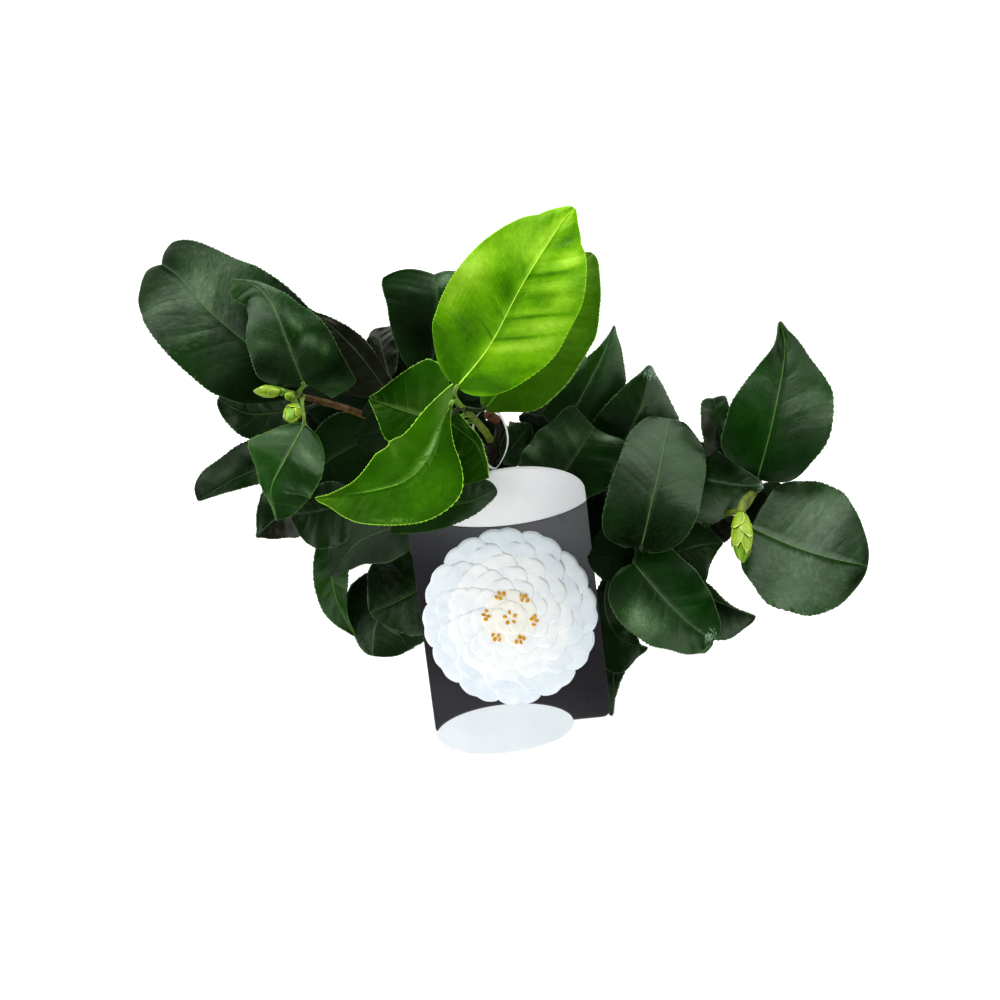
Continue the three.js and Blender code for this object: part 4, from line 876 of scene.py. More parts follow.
def furrows(depth, lumps, seed):
    r = random.Random(seed)
    ph = [r.uniform(0, TAU) for _ in range(8)]
    nodes = [(r.uniform(0, 1), r.uniform(0, TAU)) for _ in range(lumps)]

    def f(run, a, rad):
        h = depth * (np.sin(5 * a + 0.05 * run + ph[0] + 1.3 * np.sin(run * 0.09 + ph[1]))
                     + 0.6 * np.sin(9 * a - 0.08 * run + ph[2] + 1.1 * np.sin(run * 0.17 + ph[3]))
                     + 0.5 * np.sin(run * 0.9 + 2 * a + ph[4]) * np.sin(run * 0.31 + ph[5])
                     + 0.4 * np.sin(run * 2.1 + 3 * a + ph[6]))
        total = float(run.max())
        for place, turn in nodes:
            d = (run - place * total) / 1.6
            w = np.cos(a - turn)
            h = h + depth * 5.0 * np.exp(-d * d) * np.clip(w, 0, 1) ** 3
        return h
    return f


limbs = Batch()
z = stem_line[:, 2]
base_r = 4.8 + (1.2 - 4.8) * (z / 306.0) + 3.2 * np.exp(-z / 9.0)
stem_mat = np.where(z > 263, M_SHOOT, np.where(z > 228, M_BARK_DARK, M_BARK))
stem_line[0] = (0.0, 0.0, 0.0)
tube(limbs, stem_line, base_r, 28, stem_mat,
     lambda run, a, rad: furrows(0.16, 26, 5)(run, a, rad) * (0.25 + 0.75 * (1 - smooth(225, 275, run))) * smooth(0.5, 6, run))
limbs.V[-1][:, 2] = np.maximum(limbs.V[-1][:, 2], 0.0)
LINES = {"stem": stem_line[stem_line[:, 2] > 60]}
for n, (name, (start, via)) in enumerate(BOUGHS.items()):
    end = END.get(name, HEARTS[name])
    pts = [stem_at(start)] + via + [end]
    pts += ON.get(name, [])
    line = spline(pts, 150)
    heart_run = length_of(spline([stem_at(start)] + via + [end], 80))
    run = np.r_[0, np.cumsum(np.linalg.norm(np.diff(line, axis=0), axis=1))]
    t = run / heart_run
    r = np.where(t < 1, 2.7 + (1.25 - 2.7) * t, 1.25 - 0.35 * (t - 1) * 4) + 1.1 * np.exp(-run / 4.0)
    r = np.maximum(r, 0.75)
    mat = np.where(t < 0.62, M_BARK, M_TWIG)
    if name == "right":
        mat = np.where(t > 0.92, M_SHOOT, mat)
    tube(limbs, line, r, 18, mat, furrows(0.10, int(heart_run / 9), 40 + n))
    LINES[name] = line

# ------------------------------------------------------------------ shoots and stalks
green = Batch()


def stalk(start, end, leave, arrive, r0, r1, mat, sides=10, bow=0.35):
    """A leaf stalk or young side twig, from a limb to a leaf's foot."""
    start, end = np.array(start, float), np.array(end, float)
    gap = np.linalg.norm(end - start)
    a = start + unit(leave) * gap * bow
    b = end - unit(arrive) * gap * bow
    t = np.linspace(0, 1, max(8, int(gap / 0.8)))[:, None]
    line = (1 - t) ** 3 * start + 3 * (1 - t) ** 2 * t * a + 3 * (1 - t) * t * t * b + t ** 3 * end
    tt = t[:, 0]
    rad = r0 + (r1 - r0) * tt + 0.45 * np.exp(-tt * gap / 1.4) + 0.12 * np.exp(-(1 - tt) * gap / 1.6)
    tube(green, line, rad, sides, mat)
    return line


def nearest(point, names, below=True):
    """The point of the limbs that a stalk would best come from."""
    best = None
    for name in names:
        line = LINES[name]
        run = line[max(0, int(len(line) * 0.45)):] if name != "stem" else line
        d = np.linalg.norm(run - point, axis=1) + np.maximum(0, run[:, 2] - point[2] + 2) * 0.8
        i = int(d.argmin())
        if best is None or d[i] < best[0]:
            tan = unit(run[min(i + 2, len(run) - 1)] - run[max(i - 2, 0)])
            best = (float(d[i]), run[i], tan, name)
    return best


# side twigs that carry a shown leaf
SIDE = {
    "left_low_a": ([(-60, -17, 212), (-65, -23, 209), (-69, -30, 204)], 1.3, 0.95, M_TWIG),
    "right_a": ([(84, -24, 234), (84, -20, 246), (82, -15, 258)], 1.2, 0.9, M_TWIG),
    "pruned": ([stem_at(248), at_height(499, 424, 261), at_height(488, 414, 269)], 1.5, 2.2, M_RED),
    "left_low_b": ([(-74, -15, 242), (-80, -20, 240), (-84, -26, 238)], 1.1, 0.8, M_TWIG),
}
for name, (pts, r0, r1, mt) in SIDE.items():
    line = spline(pts, 40)
    t = np.linspace(0, 1, 40)
    # The pruned twig is red only near its cut end; nearer the stem it takes the dark umber as painted shade.
    if name == "pruned":
        mt = np.where(t > 0.72, M_RED, M_UMBER)
    tube(green, line, r0 + (r1 - r0) * t, 12, mt, furrows(0.05, 3, 20 + len(name)))
    LINES[name] = line

PARENT = {
    "L1": ["left"], "L2": ["left"], "L6": ["left"], "L9": ["left"], "L7": ["left"], "L8": ["left_low", "left_low_b"], "L10": ["left_low_b", "left_low"],
    "L3": ["back_left"], "L4": ["back_left"], "L5": ["back_left"], "L11": ["front_left"], "L12": ["front_left"], "L13": ["left_low_a"],
    "L14": ["front_left"], "L15": ["front_left"], "C6": ["front_left"], "C1": ["stem"], "C2": ["stem"], "C3": ["stem"], "C4": ["stem"], "C5": ["stem"],
    "C8": ["stem", "centre"], "R1": ["centre"], "R2": ["centre"], "R3": ["centre"], "R4": ["right_near"], "R5": ["right_near"], "R6": ["right_near"],
    "R7": ["right_near"], "R8": ["right_a"], "R9": ["right"], "R10": ["right"], "R12": ["right"], "R14": ["right"],
    "R15": ["front_right"], "R16": ["front_right"], "I1": ["back_left"], "I2": ["left_low"], "I12": ["centre"], "I13": ["centre"], "I3": ["back_left"], "I5": ["centre"], "I6": ["right"],
    "I7": ["centre"], "I8": ["right_near"], "I10": ["stem"], "I11": ["centre"],
}

COLS = [0.11, 0.24, 0.38, 0.53, 0.68, 0.82, 0.93, 1.0]
COLS_FINE = [0.11, 0.17, 0.24, 0.31, 0.38, 0.455, 0.53, 0.605, 0.68, 0.75, 0.82, 0.875, 0.93, 1.0]
COLS_FINEST = sorted(COLS_FINE + [round((a + b) / 2, 4) for a, b in zip(COLS_FINE[:-2], COLS_FINE[1:-1])])
FINEST = {"L2", "L12", "C3", "R3", "R5"}
COLS_FEW = [0.2, 0.45, 0.72, 1.0]
pieces_of = {name: Batch() for name in HEARTS}
shown = {}
YOUNG = {"C1", "C2", "C3", "C4", "C5"}
BRIGHT_STALKS = {"C1", "C3", "C4", "L2", "L6", "R10"}
for k, key in enumerate(HEROES):
    L = Shown(key)
    shown[key] = L
    wave, pucker, veins = RELIEF.get(key, (0.55, 0.16, 6))
    foot, along, up = leaf(pieces_of[L.mass], L, 0.6 if key in FINEST or key == "C1" else 0.95, COLS_FINEST if key in FINEST else COLS_FINE if key in PLACES else COLS, veins, wave, pucker, 300 + k)
    d, root, tan, name = nearest(foot, PARENT[key])
    thick = 1.05 if key in YOUNG or L.length > 60 else 0.85
    gap = np.linalg.norm(foot - root)
    leave = unit(unit(foot - root) + 0.5 * tan)
    # Stalks other than the listed ones take the darker green as painted shade.
    mat = M_STALK if key in BRIGHT_STALKS else M_STALK_SHADED
    stalk(root, foot + along * 1.2, leave, along, thick * (1.15 if gap > 14 else 1.0), thick * 0.8, mat)

# ------------------------------------------------------------------ card frame
CARD_W, CARD_H, CARD_CORNER = 77.3, 105.6, 3.5
CARD_CENTRE = np.array([4.3, -66.4, 224.4])
TOP_OVAL = (7.6, 52.0, 31.0, 13.0)
FOOT_OVAL = (-8.2, -53.4, 30.4, 11.3)
sl, yw = math.radians(36), math.radians(6.8)
RX = np.array([[1, 0, 0], [0, math.cos(sl), -math.sin(sl)], [0, math.sin(sl), math.cos(sl)]])
RZ = np.array([[math.cos(yw), -math.sin(yw), 0], [math.sin(yw), math.cos(yw), 0], [0, 0, 1]])
CARD_R = RX @ RZ


def card_bend(x, y):
    """The slight curl of the printed plastic."""
    return 1.1 * (x / 38.65) ** 2 * 0.6 + 1.3 * (y / 66.0) ** 2 - 0.9 * smooth(30, 66, -y) * 0.8 - 0.5


def card_place(x, y, z):
    x, y, z = np.broadcast_arrays(np.asarray(x, float), np.asarray(y, float), np.asarray(z, float))
    q = np.stack([x, y, z + card_bend(x, y)], -1)
    return q @ CARD_R.T + CARD_CENTRE


# ------------------------------------------------------------------ what hides what
W = 1000
depth = np.full((W, W), np.inf)


def cover(P):
    u, v, d = seen(P.reshape(-1, 3))
    iu, iv = np.floor(u).astype(int), np.floor(v).astype(int)
    ok = (iu >= 0) & (iu < W) & (iv >= 0) & (iv < W)
    np.minimum.at(depth, (iv[ok], iu[ok]), d[ok])


for L in shown.values():
    s = np.linspace(-1, 1, 141)
    t = np.linspace(0.002, 0.998, 301)
    S, T = np.meshgrid(s, t)
    cover(L.at(S, T))
x, y = np.meshgrid(np.linspace(-38, 38, 260), np.linspace(-64.4, 64.6, 410))
on_card = np.abs(y) < 52.4
for ox, oy, orx, ory in (TOP_OVAL, FOOT_OVAL):
    on_card |= ((x - ox) / orx) ** 2 + ((y - oy) / ory) ** 2 < 0.97
cover(card_place(x[on_card], y[on_card], 0.0))


def window(a, op, n):
    out = a.copy()
    for dy in range(-n, n + 1):
        for dx in range(-n, n + 1):
            out = op(out, np.roll(np.roll(a, dy, 0), dx, 1))
    return out


closed = window(depth, np.minimum, 1)          # pinholes of the sampling filled
hide = window(closed, np.maximum, 3)           # and the rims drawn in

# inner gaps between shown leaves, where darker leaves behind may show
OPEN_TO_INSIDE = [(605, 400, 26), (596, 504, 16), (350, 405, 30), (372, 455, 28), (462, 398, 20), (535, 425, 20), (396, 355, 12),
                  (638, 551, 12), (405, 548, 12), (330, 395, 16), (470, 425, 22), (500, 440, 18), (375, 425, 18)]
vv, uu = np.mgrid[0:W, 0:W]
inside = np.zeros((W, W), bool)
for cu, cv, cr in OPEN_TO_INSIDE:
    inside |= (uu - cu) ** 2 + (vv - cv) ** 2 < cr * cr


def hidden(P, margin=2.0):
    u, v, d = seen(P.reshape(-1, 3))
    iu, iv = np.clip(u.astype(int), 0, W - 1), np.clip(v.astype(int), 0, W - 1)
    return (d > hide[iv, iu] + margin) | inside[iv, iu] & (d > closed[iv, iu].clip(0, 1e6) * 0 + 725)


def strictly_hidden(P):
    u, v, d = seen(P.reshape(-1, 3))
    iu, iv = np.clip(u.astype(int), 0, W - 1), np.clip(v.astype(int), 0, W - 1)
    return d > hide[iv, iu]


# ------------------------------------------------------------------ grown leaves
lo_box, hi_box = (np.array(v) * 1000 for v in cad_box)
TEST_S, TEST_T = np.meshgrid(np.array([-1, -0.55, 0, 0.55, 1.0]), np.linspace(0.03, 0.98, 13))
CLOUD = [shown[k].at(TEST_S, TEST_T).reshape(-1, 3) for k in shown]
cx, cy = np.meshgrid(np.linspace(-38, 38, 16), np.linspace(-62, 62, 24))
CLOUD.append(card_place(cx, cy, 0.0).reshape(-1, 3))
grown = []


def room(P, base, need):
    """Whether sample points keep clear of the leaves there are, beyond the stalk."""
    far = P[np.linalg.norm(P - base, axis=1) > 14]
    if not len(far):
        return True
    for Q in CLOUD:
        if (Q.min(0) - far.max(0)).max() > need or (far.min(0) - Q.max(0)).max() > need:
            continue
        d = ((far[:, None] - Q[None]) ** 2).sum(-1)
        if d.min() < need * need:
            return False
    return True


def mass_near(p):
    return min(HEARTS, key=lambda m: np.linalg.norm(np.array(HEARTS[m]) - p))


def try_leaf(root, radial, tan, lo, hi, tries, r, droop=(0.25, 0.8)):
    """A leaf from a node of a limb, if one finds room out of the camera's sight."""
    for k in range(tries):
        length = r.uniform(lo, hi) * (1 - 0.03 * k)
        turn = r.uniform(-0.5, 0.5)
        side = np.cross(tan, radial)
        out = unit(radial * math.cos(turn) + side * math.sin(turn))
        lift = r.uniform(-0.1, 0.65)
        d = unit(out + tan * r.uniform(0.15, 0.6) + np.array([0, 0, lift - 0.25]))
        if d[2] < -0.75:
            continue
        stalk_len = r.uniform(6.0, 9.0)
        base = root + unit(out + 0.4 * tan) * 1.2 + d * stalk_len
        up = np.array([0, 0, 1.0]) + 0.35 * np.array([r.uniform(-1, 1), r.uniform(-1, 1), 0])
        if abs(d[2]) > 0.9:
            up = -out
        L = Grown(base, d, up, length, length * r.uniform(0.21, 0.26), r.uniform(*droop), r.uniform(-0.10, 0.24),
                  r.uniform(-0.10, 0.10), r.choice(["deep", "dark", "dark", "green", "deep"]), "low_back")
        P = L.at(TEST_S, TEST_T).reshape(-1, 3)
        if (P.min(0) < lo_box + 1).any() or (P.max(0) > hi_box - 1).any() or P[:, 2].min() < 46:
            continue
        if not hidden(P).all() or not hidden(root[None]).all():
            continue
        if not room(P, base, 4.6):
            continue
        q = (P - CARD_CENTRE) @ CARD_R
        if ((np.abs(q[:, 0]) < 43) & (np.abs(q[:, 1]) < 70) & (q[:, 2] > -4.5)).any():
            continue
        # A leaf that may show through a gap takes the near-black inner look, painted shade.
        if not strictly_hidden(P).all():
            L.look = "inner"
        L.mass = mass_near(P.mean(0))
        return L, root, unit(out + 0.4 * tan)
    return None


def grow_on(line, first, last, gap, phase, sizes, r, tries=7):
    """Leaves along a limb in a spiral, one to a node."""
    run = np.r_[0, np.cumsum(np.linalg.norm(np.diff(line, axis=0), axis=1))]
    made = 0
    s = first
    k = 0
    while s < last * run[-1]:
        root = np.array([np.interp(s, run, line[:, j]) for j in range(3)])
        tan = unit(np.array([np.interp(min(s + 2, run[-1]), run, line[:, j]) for j in range(3)])
                   - np.array([np.interp(max(s - 2, 0), run, line[:, j]) for j in range(3)]))
        a = unit(np.cross(tan, [0.2, 0.1, 1.0]))
        b = np.cross(tan, a)
        th = phase + k * math.radians(137.5)
        radial = a * math.cos(th) + b * math.sin(th)
        res = try_leaf(root, radial, tan, *sizes, tries, r)
        if res:
            L, rt, leave = res
            CLOUD.append(L.at(TEST_S, TEST_T).reshape(-1, 3))
            grown.append((L, rt, leave))
            made += 1
        s += gap * r.uniform(0.8, 1.2)
        k += 1
    return made


gr = random.Random(77)
twigs = []


def side_twig(root, tan, radial, length, r):
    """A young side twig's centre line, bending up towards the light, or None where it leaves the box or shows; its
    spiral of leaves is grown on it afterwards.
    """
    d = unit(radial + tan * 0.7)
    mid = root + d * length * 0.5
    tip = mid + unit(d + np.array([0, 0, 0.35])) * length * 0.5
    line = spline([root, mid, tip], 40)
    lo_ok = (line.min(0) > lo_box + 4).all() and (line.max(0) < hi_box - 4).all()
    if not lo_ok or not strictly_hidden(line[6:]).all():
        return None
    return line


order = sorted(BOUGHS, key=lambda n: (not n.startswith("low"), n))
for n, name in enumerate(order):
    line = LINES[name]
    run = length_of(line)
    low = name.startswith("low")
    start = BOUGHS[name][0]
    # side twigs
    count = 5 if low else 4
    for k in range(count):
        f = 0.42 + 0.5 * (k + 0.5) / count
        i = int(f * (len(line) - 1))
        tan = unit(line[min(i + 3, len(line) - 1)] - line[i - 3])
        for attempt in range(6):
            th = gr.uniform(0, TAU)
            a = unit(np.cross(tan, [0.2, 0.1, 1.0]))
            b = np.cross(tan, a)
            radial = a * math.cos(th) + b * math.sin(th)
            tw = side_twig(line[i], tan, radial, gr.uniform(22, 44), gr)
            if tw is not None:
                before = len(grown)
                grow_on(tw, 9, 1.0, 8.5, gr.uniform(0, TAU), (52, 76), gr)
                if len(grown) - before >= 1:
                    twigs.append(tw)
                    break
                del grown[before:]
    grow_on(line, max(30, run * 0.30), 1.0, 8.0, n * 1.9, (54, 84), gr)
grow_on(LINES["stem"], 24, 0.92, 9.0, 0.7, (56, 84), gr)
grow_on(LINES["stem"], 30, 0.92, 9.0, 2.9, (52, 74), gr)
print("grown leaves", len(grown), "side twigs", len(twigs))

for k, (L, root, leave) in enumerate(grown):
    foot, along, up = leaf(pieces_of[L.mass], L, 2.5, COLS_FEW, 5, 0.9, 0.3, 900 + k)
    stalk(root, foot + along * 1.0, leave, along, 0.95, 0.75, M_STALK, sides=8)
for k, tw in enumerate(twigs):
    t = np.linspace(0, 1, len(tw))
    tube(green, tw, 1.15 - 0.35 * t, 10, np.where(t < 0.45, M_TWIG, M_SHOOT), furrows(0.05, 3, 600 + k))

# ------------------------------------------------------------------ buds
buds = Batch()


def bud(base, axis, length, width, scales, seed, spread_out=1.0, fine=True):
    """A scaled bud: a core and bracts that overlap in a spiral, each with a paler edge."""
    r = random.Random(seed)
    axis = unit(axis)
    a = unit(np.cross(axis, [0.31, 0.87, 0.12]))
    b = np.cross(axis, a)
    R = width / 2

    def prof(u):
        u = np.clip(u, 0, 1)
        return R * 1.02 * (u ** 0.42) * (1 - u ** 2.3) ** 0.82 / 0.86

    us = np.linspace(0.001, 0.999, 26 if fine else 12)
    line = np.array(base)[None] + axis[None] * (us * length)[:, None]
    tube(buds, line, np.maximum(prof(us), 0.05), 20 if fine else 10, M_BUD_CORE)
    for k in range(scales):
        f = k / max(1, scales - 1)
        u0 = 0.02 + 0.30 * f
        u1 = 0.42 + 0.58 * f ** 0.75
        th = k * math.radians(144.0) + r.uniform(-0.12, 0.12)
        wide = 1.15 - 0.35 * f
        nu, nv = (15, 11) if fine else (9, 7)
        U, Vv = np.meshgrid(np.linspace(0, 1, nu), np.linspace(-1, 1, nv), indexing="ij")
        shape = np.sqrt(np.clip(1 - U ** 2.6, 0, 1)) * (0.75 + 0.25 * U ** 0.3)
        ang = th + Vv * wide * shape
        u = u0 + (u1 - u0) * (U - 0.10 * np.abs(Vv) ** 2 * U)
        lift = 0.10 + 0.26 * (1 - f) + 0.30 * U ** 3 * spread_out * (1 - 0.5 * f)
        rad = np.maximum(prof(u), 0.12) + lift * R / 4.5
        pos = np.array(base) + axis * (u * length)[..., None] + (a * np.cos(ang)[..., None] + b * np.sin(ang)[..., None]) * rad[..., None]
        nrm = a * np.cos(ang)[..., None] + b * np.sin(ang)[..., None]
        inner = pos - nrm * (0.16 * R / 4.5)
        V = np.concatenate([pos.reshape(-1, 3), inner.reshape(-1, 3)])
        F = grid_faces(nu, nv)
        M = np.full((nu - 1, nv - 1), M_BUD)
        M[:, 0] = M_BUD_TIP
        M[:, -1] = M_BUD_TIP
        M[-2:, :] = M_BUD_TIP
        Fb = grid_faces(nu, nv, flip=True) + nu * nv
        kk = nu * nv
        i = np.arange(nu - 1)
        j = np.arange(nv - 1)
        w1 = np.stack([i * nv, (i + 1) * nv, (i + 1) * nv + kk, i * nv + kk], 1)
        w2 = np.stack([i * nv + nv - 1, i * nv + nv - 1 + kk, (i + 1) * nv + nv - 1 + kk, (i + 1) * nv + nv - 1], 1)
        w3 = np.stack([j, j + kk, j + 1 + kk, j + 1], 1)
        e = (nu - 1) * nv
        w4 = np.stack([e + j, e + j + 1, e + j + 1 + kk, e + j + kk], 1)
        walls = np.concatenate([w1, w2, w3, w4])
        q = pos[nu // 2, nv // 2 + 1] - pos[nu // 2, nv // 2]
        w = pos[nu // 2 + 1, nv // 2] - pos[nu // 2, nv // 2]
        faces = np.concatenate([F.reshape(-1, 4), Fb.reshape(-1, 4), walls])
        if np.cross(q, w) @ nrm[nu // 2, nv // 2] < 0:
            faces = faces[:, ::-1]
        buds.add(V, faces, np.concatenate([M.ravel(), np.full((nu - 1) * (nv - 1), M_BUD_CORE), np.full(len(walls), M_BUD_TIP)]))


def bud_between(p_base, p_tip, width, scales, seed, **kw):
    p_base, p_tip = np.array(p_base), np.array(p_tip)
    bud(p_base, p_tip - p_base, float(np.linalg.norm(p_tip - p_base)), width, scales, seed, **kw)


AHEAD = np.array([[0.0], [2.0], [4.0], [6.0], [8.0]])
tipL = LINES["left"][-1]
b1, t1 = at_height(281, 392, 287), at_height(253, 391, 290)
bud_between(b1, t1, 6.8, 7, 1)
stalk(tipL, b1, [-1, 0.2, 0.6], t1 - b1, 1.1, 1.6, M_STALK)
b2 = at_height(296, 408, 283)
t2 = at_height(288, 419, 294)
bud_between(b2, t2, 9.4, 7, 2)
stalk(LINES["left"][-6], b2, [-0.3, -0.4, 1], t2 - b2, 1.1, 1.6, M_STALK)
b3 = at_height(292, 397, 287)
t3 = at_height(286, 395, 293)
bud_between(b3, t3, 4.9, 5, 3)
stalk(LINES["left"][-4], b3, [-0.2, 0, 1], t3 - b3, 0.9, 1.0, M_STALK)
b4, t4 = at_height(741, 512, 268), at_height(743, 563, 272)
bud_between(b4, t4, 11.4, 10, 4, spread_out=1.3)
stalk(LINES["right"][-4], b4 + (t4 - b4) * 0.04, [-0.7, -0.5, 0.6], t4 - b4, 1.5, 2.1, M_SHOOT)
for k, tw in enumerate(twigs):
    if not strictly_hidden(tw[-1] + unit(tw[-1] - tw[-4]) * AHEAD).all():
        continue
    bud(tw[-1] - unit(tw[-1] - tw[-4]) * 0.6, tw[-1] - tw[-4], 5.4 + (k % 3), 2.6 + 0.2 * (k % 3), 5, 50 + k, fine=False)
for k, name in enumerate(("low_left", "low_right", "low_back", "low_front", "low_back_left", "low_back_right", "front_right", "right_near", "centre", "back_left")):
    line = LINES[name]
    if not strictly_hidden(line[-1] + unit(line[-1] - line[-5]) * AHEAD).all():
        continue
    bud(line[-1] - unit(line[-1] - line[-5]) * 0.8, line[-1] - line[-5], 7.0, 3.2, 6, 80 + k, fine=False)

# ------------------------------------------------------------------ card
card = Batch()
printed = Batch()
rosette = Batch()


def slab(batch, X, Y, Z0, Z1, mat, side_mat, place=card_place):
    """A closed sheet over a grid of x and y, from Z0 up to Z1."""
    nr, nc = X.shape
    top = place(X, Y, Z1)
    bot = place(X, Y, Z0)
    k = nr * nc
    V = np.concatenate([top.reshape(-1, 3), bot.reshape(-1, 3)])
    q = top[nr // 2, nc // 2 + 1] - top[nr // 2, nc // 2]
    w = top[nr // 2 + 1, nc // 2] - top[nr // 2, nc // 2]
    n = CARD_R[:, 2]
    ok = np.cross(q, w) @ n > 0
    i, j = np.arange(nr - 1), np.arange(nc - 1)
    w1 = np.stack([i * nc, (i + 1) * nc, (i + 1) * nc + k, i * nc + k], 1)
    w2 = np.stack([i * nc + nc - 1, i * nc + nc - 1 + k, (i + 1) * nc + nc - 1 + k, (i + 1) * nc + nc - 1], 1)
    w3 = np.stack([j, j + k, j + 1 + k, j + 1], 1)
    e = (nr - 1) * nc
    w4 = np.stack([e + j, e + j + 1, e + j + 1 + k, e + j + k], 1)
    F = np.concatenate([grid_faces(nr, nc).reshape(-1, 4), (grid_faces(nr, nc, flip=True) + k).reshape(-1, 4), w1, w2, w3, w4])
    if not ok:
        F = F[:, ::-1]
    m = (nr - 1) * (nc - 1)
    M = np.full(len(F), side_mat)
    M[:m] = mat if np.isscalar(mat) else np.asarray(mat).ravel()
    batch.add(V, F, M)


def oval(o, x):
    return np.where(np.abs(x - o[0]) < o[2], np.sqrt(np.clip(1 - ((x - o[0]) / o[2]) ** 2, 0, 1)) * o[3], -1e3)


hw, hh = CARD_W / 2, CARD_H / 2
xs = np.concatenate([np.linspace(-hw, hw, 90), [TOP_OVAL[0] - 31, TOP_OVAL[0] + 30.9, FOOT_OVAL[0] - 30.3, FOOT_OVAL[0] + 30.4]])
xs = np.unique(np.clip(xs, -hw, hw))
corner = np.where(np.abs(xs) > hw - CARD_CORNER, CARD_CORNER - np.sqrt(np.clip(CARD_CORNER ** 2 - (np.abs(xs) - (hw - CARD_CORNER)) ** 2, 0, None)), 0)
bot_y = np.minimum(-hh + corner, FOOT_OVAL[1] - oval(FOOT_OVAL, xs))
top_y = np.maximum(hh - corner, TOP_OVAL[1] + oval(TOP_OVAL, xs))
f = np.linspace(0, 1, 110)[:, None]
# Rows past the 60th, the card's top, take the brighter white as painted light.
slab(card, np.broadcast_to(xs, (110, len(xs))), bot_y + (top_y - bot_y) * f, -0.22, 0.18,
     np.where(np.arange(109)[:, None] > 60, M_CARD_TOP_LIT, M_CARD) + np.zeros((109, len(xs) - 1), int), M_CARD)
in_bot = np.where(oval(FOOT_OVAL, xs) > -1e2, np.maximum(-hh + corner, FOOT_OVAL[1] + oval(FOOT_OVAL, xs)), -hh + corner)
HEAD_PRINT = (4.0, 52.0, 38.1, 12.7)
in_top = np.where(oval(HEAD_PRINT, xs) > -1e2, np.minimum(hh - corner, HEAD_PRINT[1] - oval(HEAD_PRINT, xs)), hh - corner)
slab(printed, np.broadcast_to(xs, (110, len(xs))), in_bot + (in_top - in_bot) * f, 0.10, 0.26, M_GROUND, M_GROUND)

# a plain rosette in regular rings, printed with a little relief
ROSE = (0.0, -2.2)
RINGS = [(38.5, 17.0, 12, 1.80), (33.4, 14.0, 12, 1.75), (28.0, 11.0, 11, 1.70), (22.6, 8.0, 10, 1.62), (17.4, 5.2, 9, 1.56), (12.4, 2.8, 7, 1.5), (7.4, 0.8, 5, 1.6)]
for n, (r1, r0, count, over) in enumerate(RINGS):
    for k in range(count):
        th = TAU * (k + 0.5 * (n % 2)) / count + 0.05 * n
        nu, nv = 13, 13
        U, Vv = np.meshgrid(np.linspace(0, 1, nu), np.linspace(-1, 1, nv), indexing="ij")
        halfw = math.pi * r1 / count * over * 0.62
        shape = np.sin(math.pi * (0.12 + 0.50 * U ** 0.8)) ** 0.9
        x = Vv * halfw * shape
        edge = np.sqrt(np.clip(1 - (Vv * 0.97) ** 2, 0, 1))
        notch = 0.045 * np.exp(-(Vv / 0.22) ** 2)
        y = r0 + (r1 - r0) * U * (0.70 + 0.30 * edge - notch)
        base_h = 0.30 + 0.15 * n
        hgt = base_h + 0.42 * U ** 1.4 * (1 - 0.35 * Vv ** 2) - 0.30 * np.exp(-((U - 1) / 0.12) ** 2) + 0.05 * np.cos(Vv * 9) * U + 0.10 * Vv
        cs, sn = math.cos(th), math.sin(th)
        X = ROSE[0] + x * cs - y * sn
        Y = ROSE[1] + 1.07 * (x * sn + y * cs)
        tone = M_PETAL_A if n < 2 else (M_PETAL_B if n < 5 else M_PETAL_C)
        M = np.full((nu - 1, nv - 1), tone)
        M[: int(nu * 0.42), :] = M_PETAL_S if n < 5 else M_PETAL_C
        X = np.clip(X, -38.3, 38.3)
        slab(rosette, X, Y, np.full_like(X, 0.12), hgt, M, tone)
disc_r, disc_a = np.meshgrid(np.linspace(0.02, 4.6, 5), np.linspace(0, TAU, 33), indexing="ij")
slab(rosette, ROSE[0] + disc_r * np.cos(disc_a), ROSE[1] + 1.07 * disc_r * np.sin(disc_a), np.full_like(disc_r, 0.3), 1.42 - 0.012 * disc_r ** 2, M_PETAL_C, M_PETAL_C)
# ochre flecks: a knot in the middle and six groups on a regular ring
FLECKS = [(2.3, TAU * k / 5, 0.0) for k in range(5)]
for k in range(6):
    for j, (dr, da) in enumerate(((0.0, -0.17), (0.9, 0.0), (0.0, 0.17), (-1.3, 0.04))):
        FLECKS.append((10.6 + dr, TAU * k / 6 + 0.3 + da, 1.0))
for k, (rr, th, out) in enumerate(FLECKS):
    nu, nv = 7, 9
    U, Vv = np.meshgrid(np.linspace(0, 1, nu), np.linspace(-1, 1, nv), indexing="ij")
    y = rr - 0.95 + 1.9 * U
    x = Vv * (0.55 + 0.12 * (k % 3)) * np.sqrt(np.clip(1 - (2 * U - 1) ** 2, 0.02, 1))
    X = ROSE[0] + x * math.cos(th) - y * math.sin(th)
    Y = ROSE[1] + 1.07 * (x * math.sin(th) + y * math.cos(th))
    slab(rosette, X, Y, np.full_like(X, 0.9), 1.62 - 0.02 * out + 0.14 * np.sqrt(np.clip(1 - Vv ** 2, 0, 1)) * np.sqrt(np.clip(1 - (2 * U - 1) ** 2, 0, 1)), M_OCHRE, M_OCHRE)

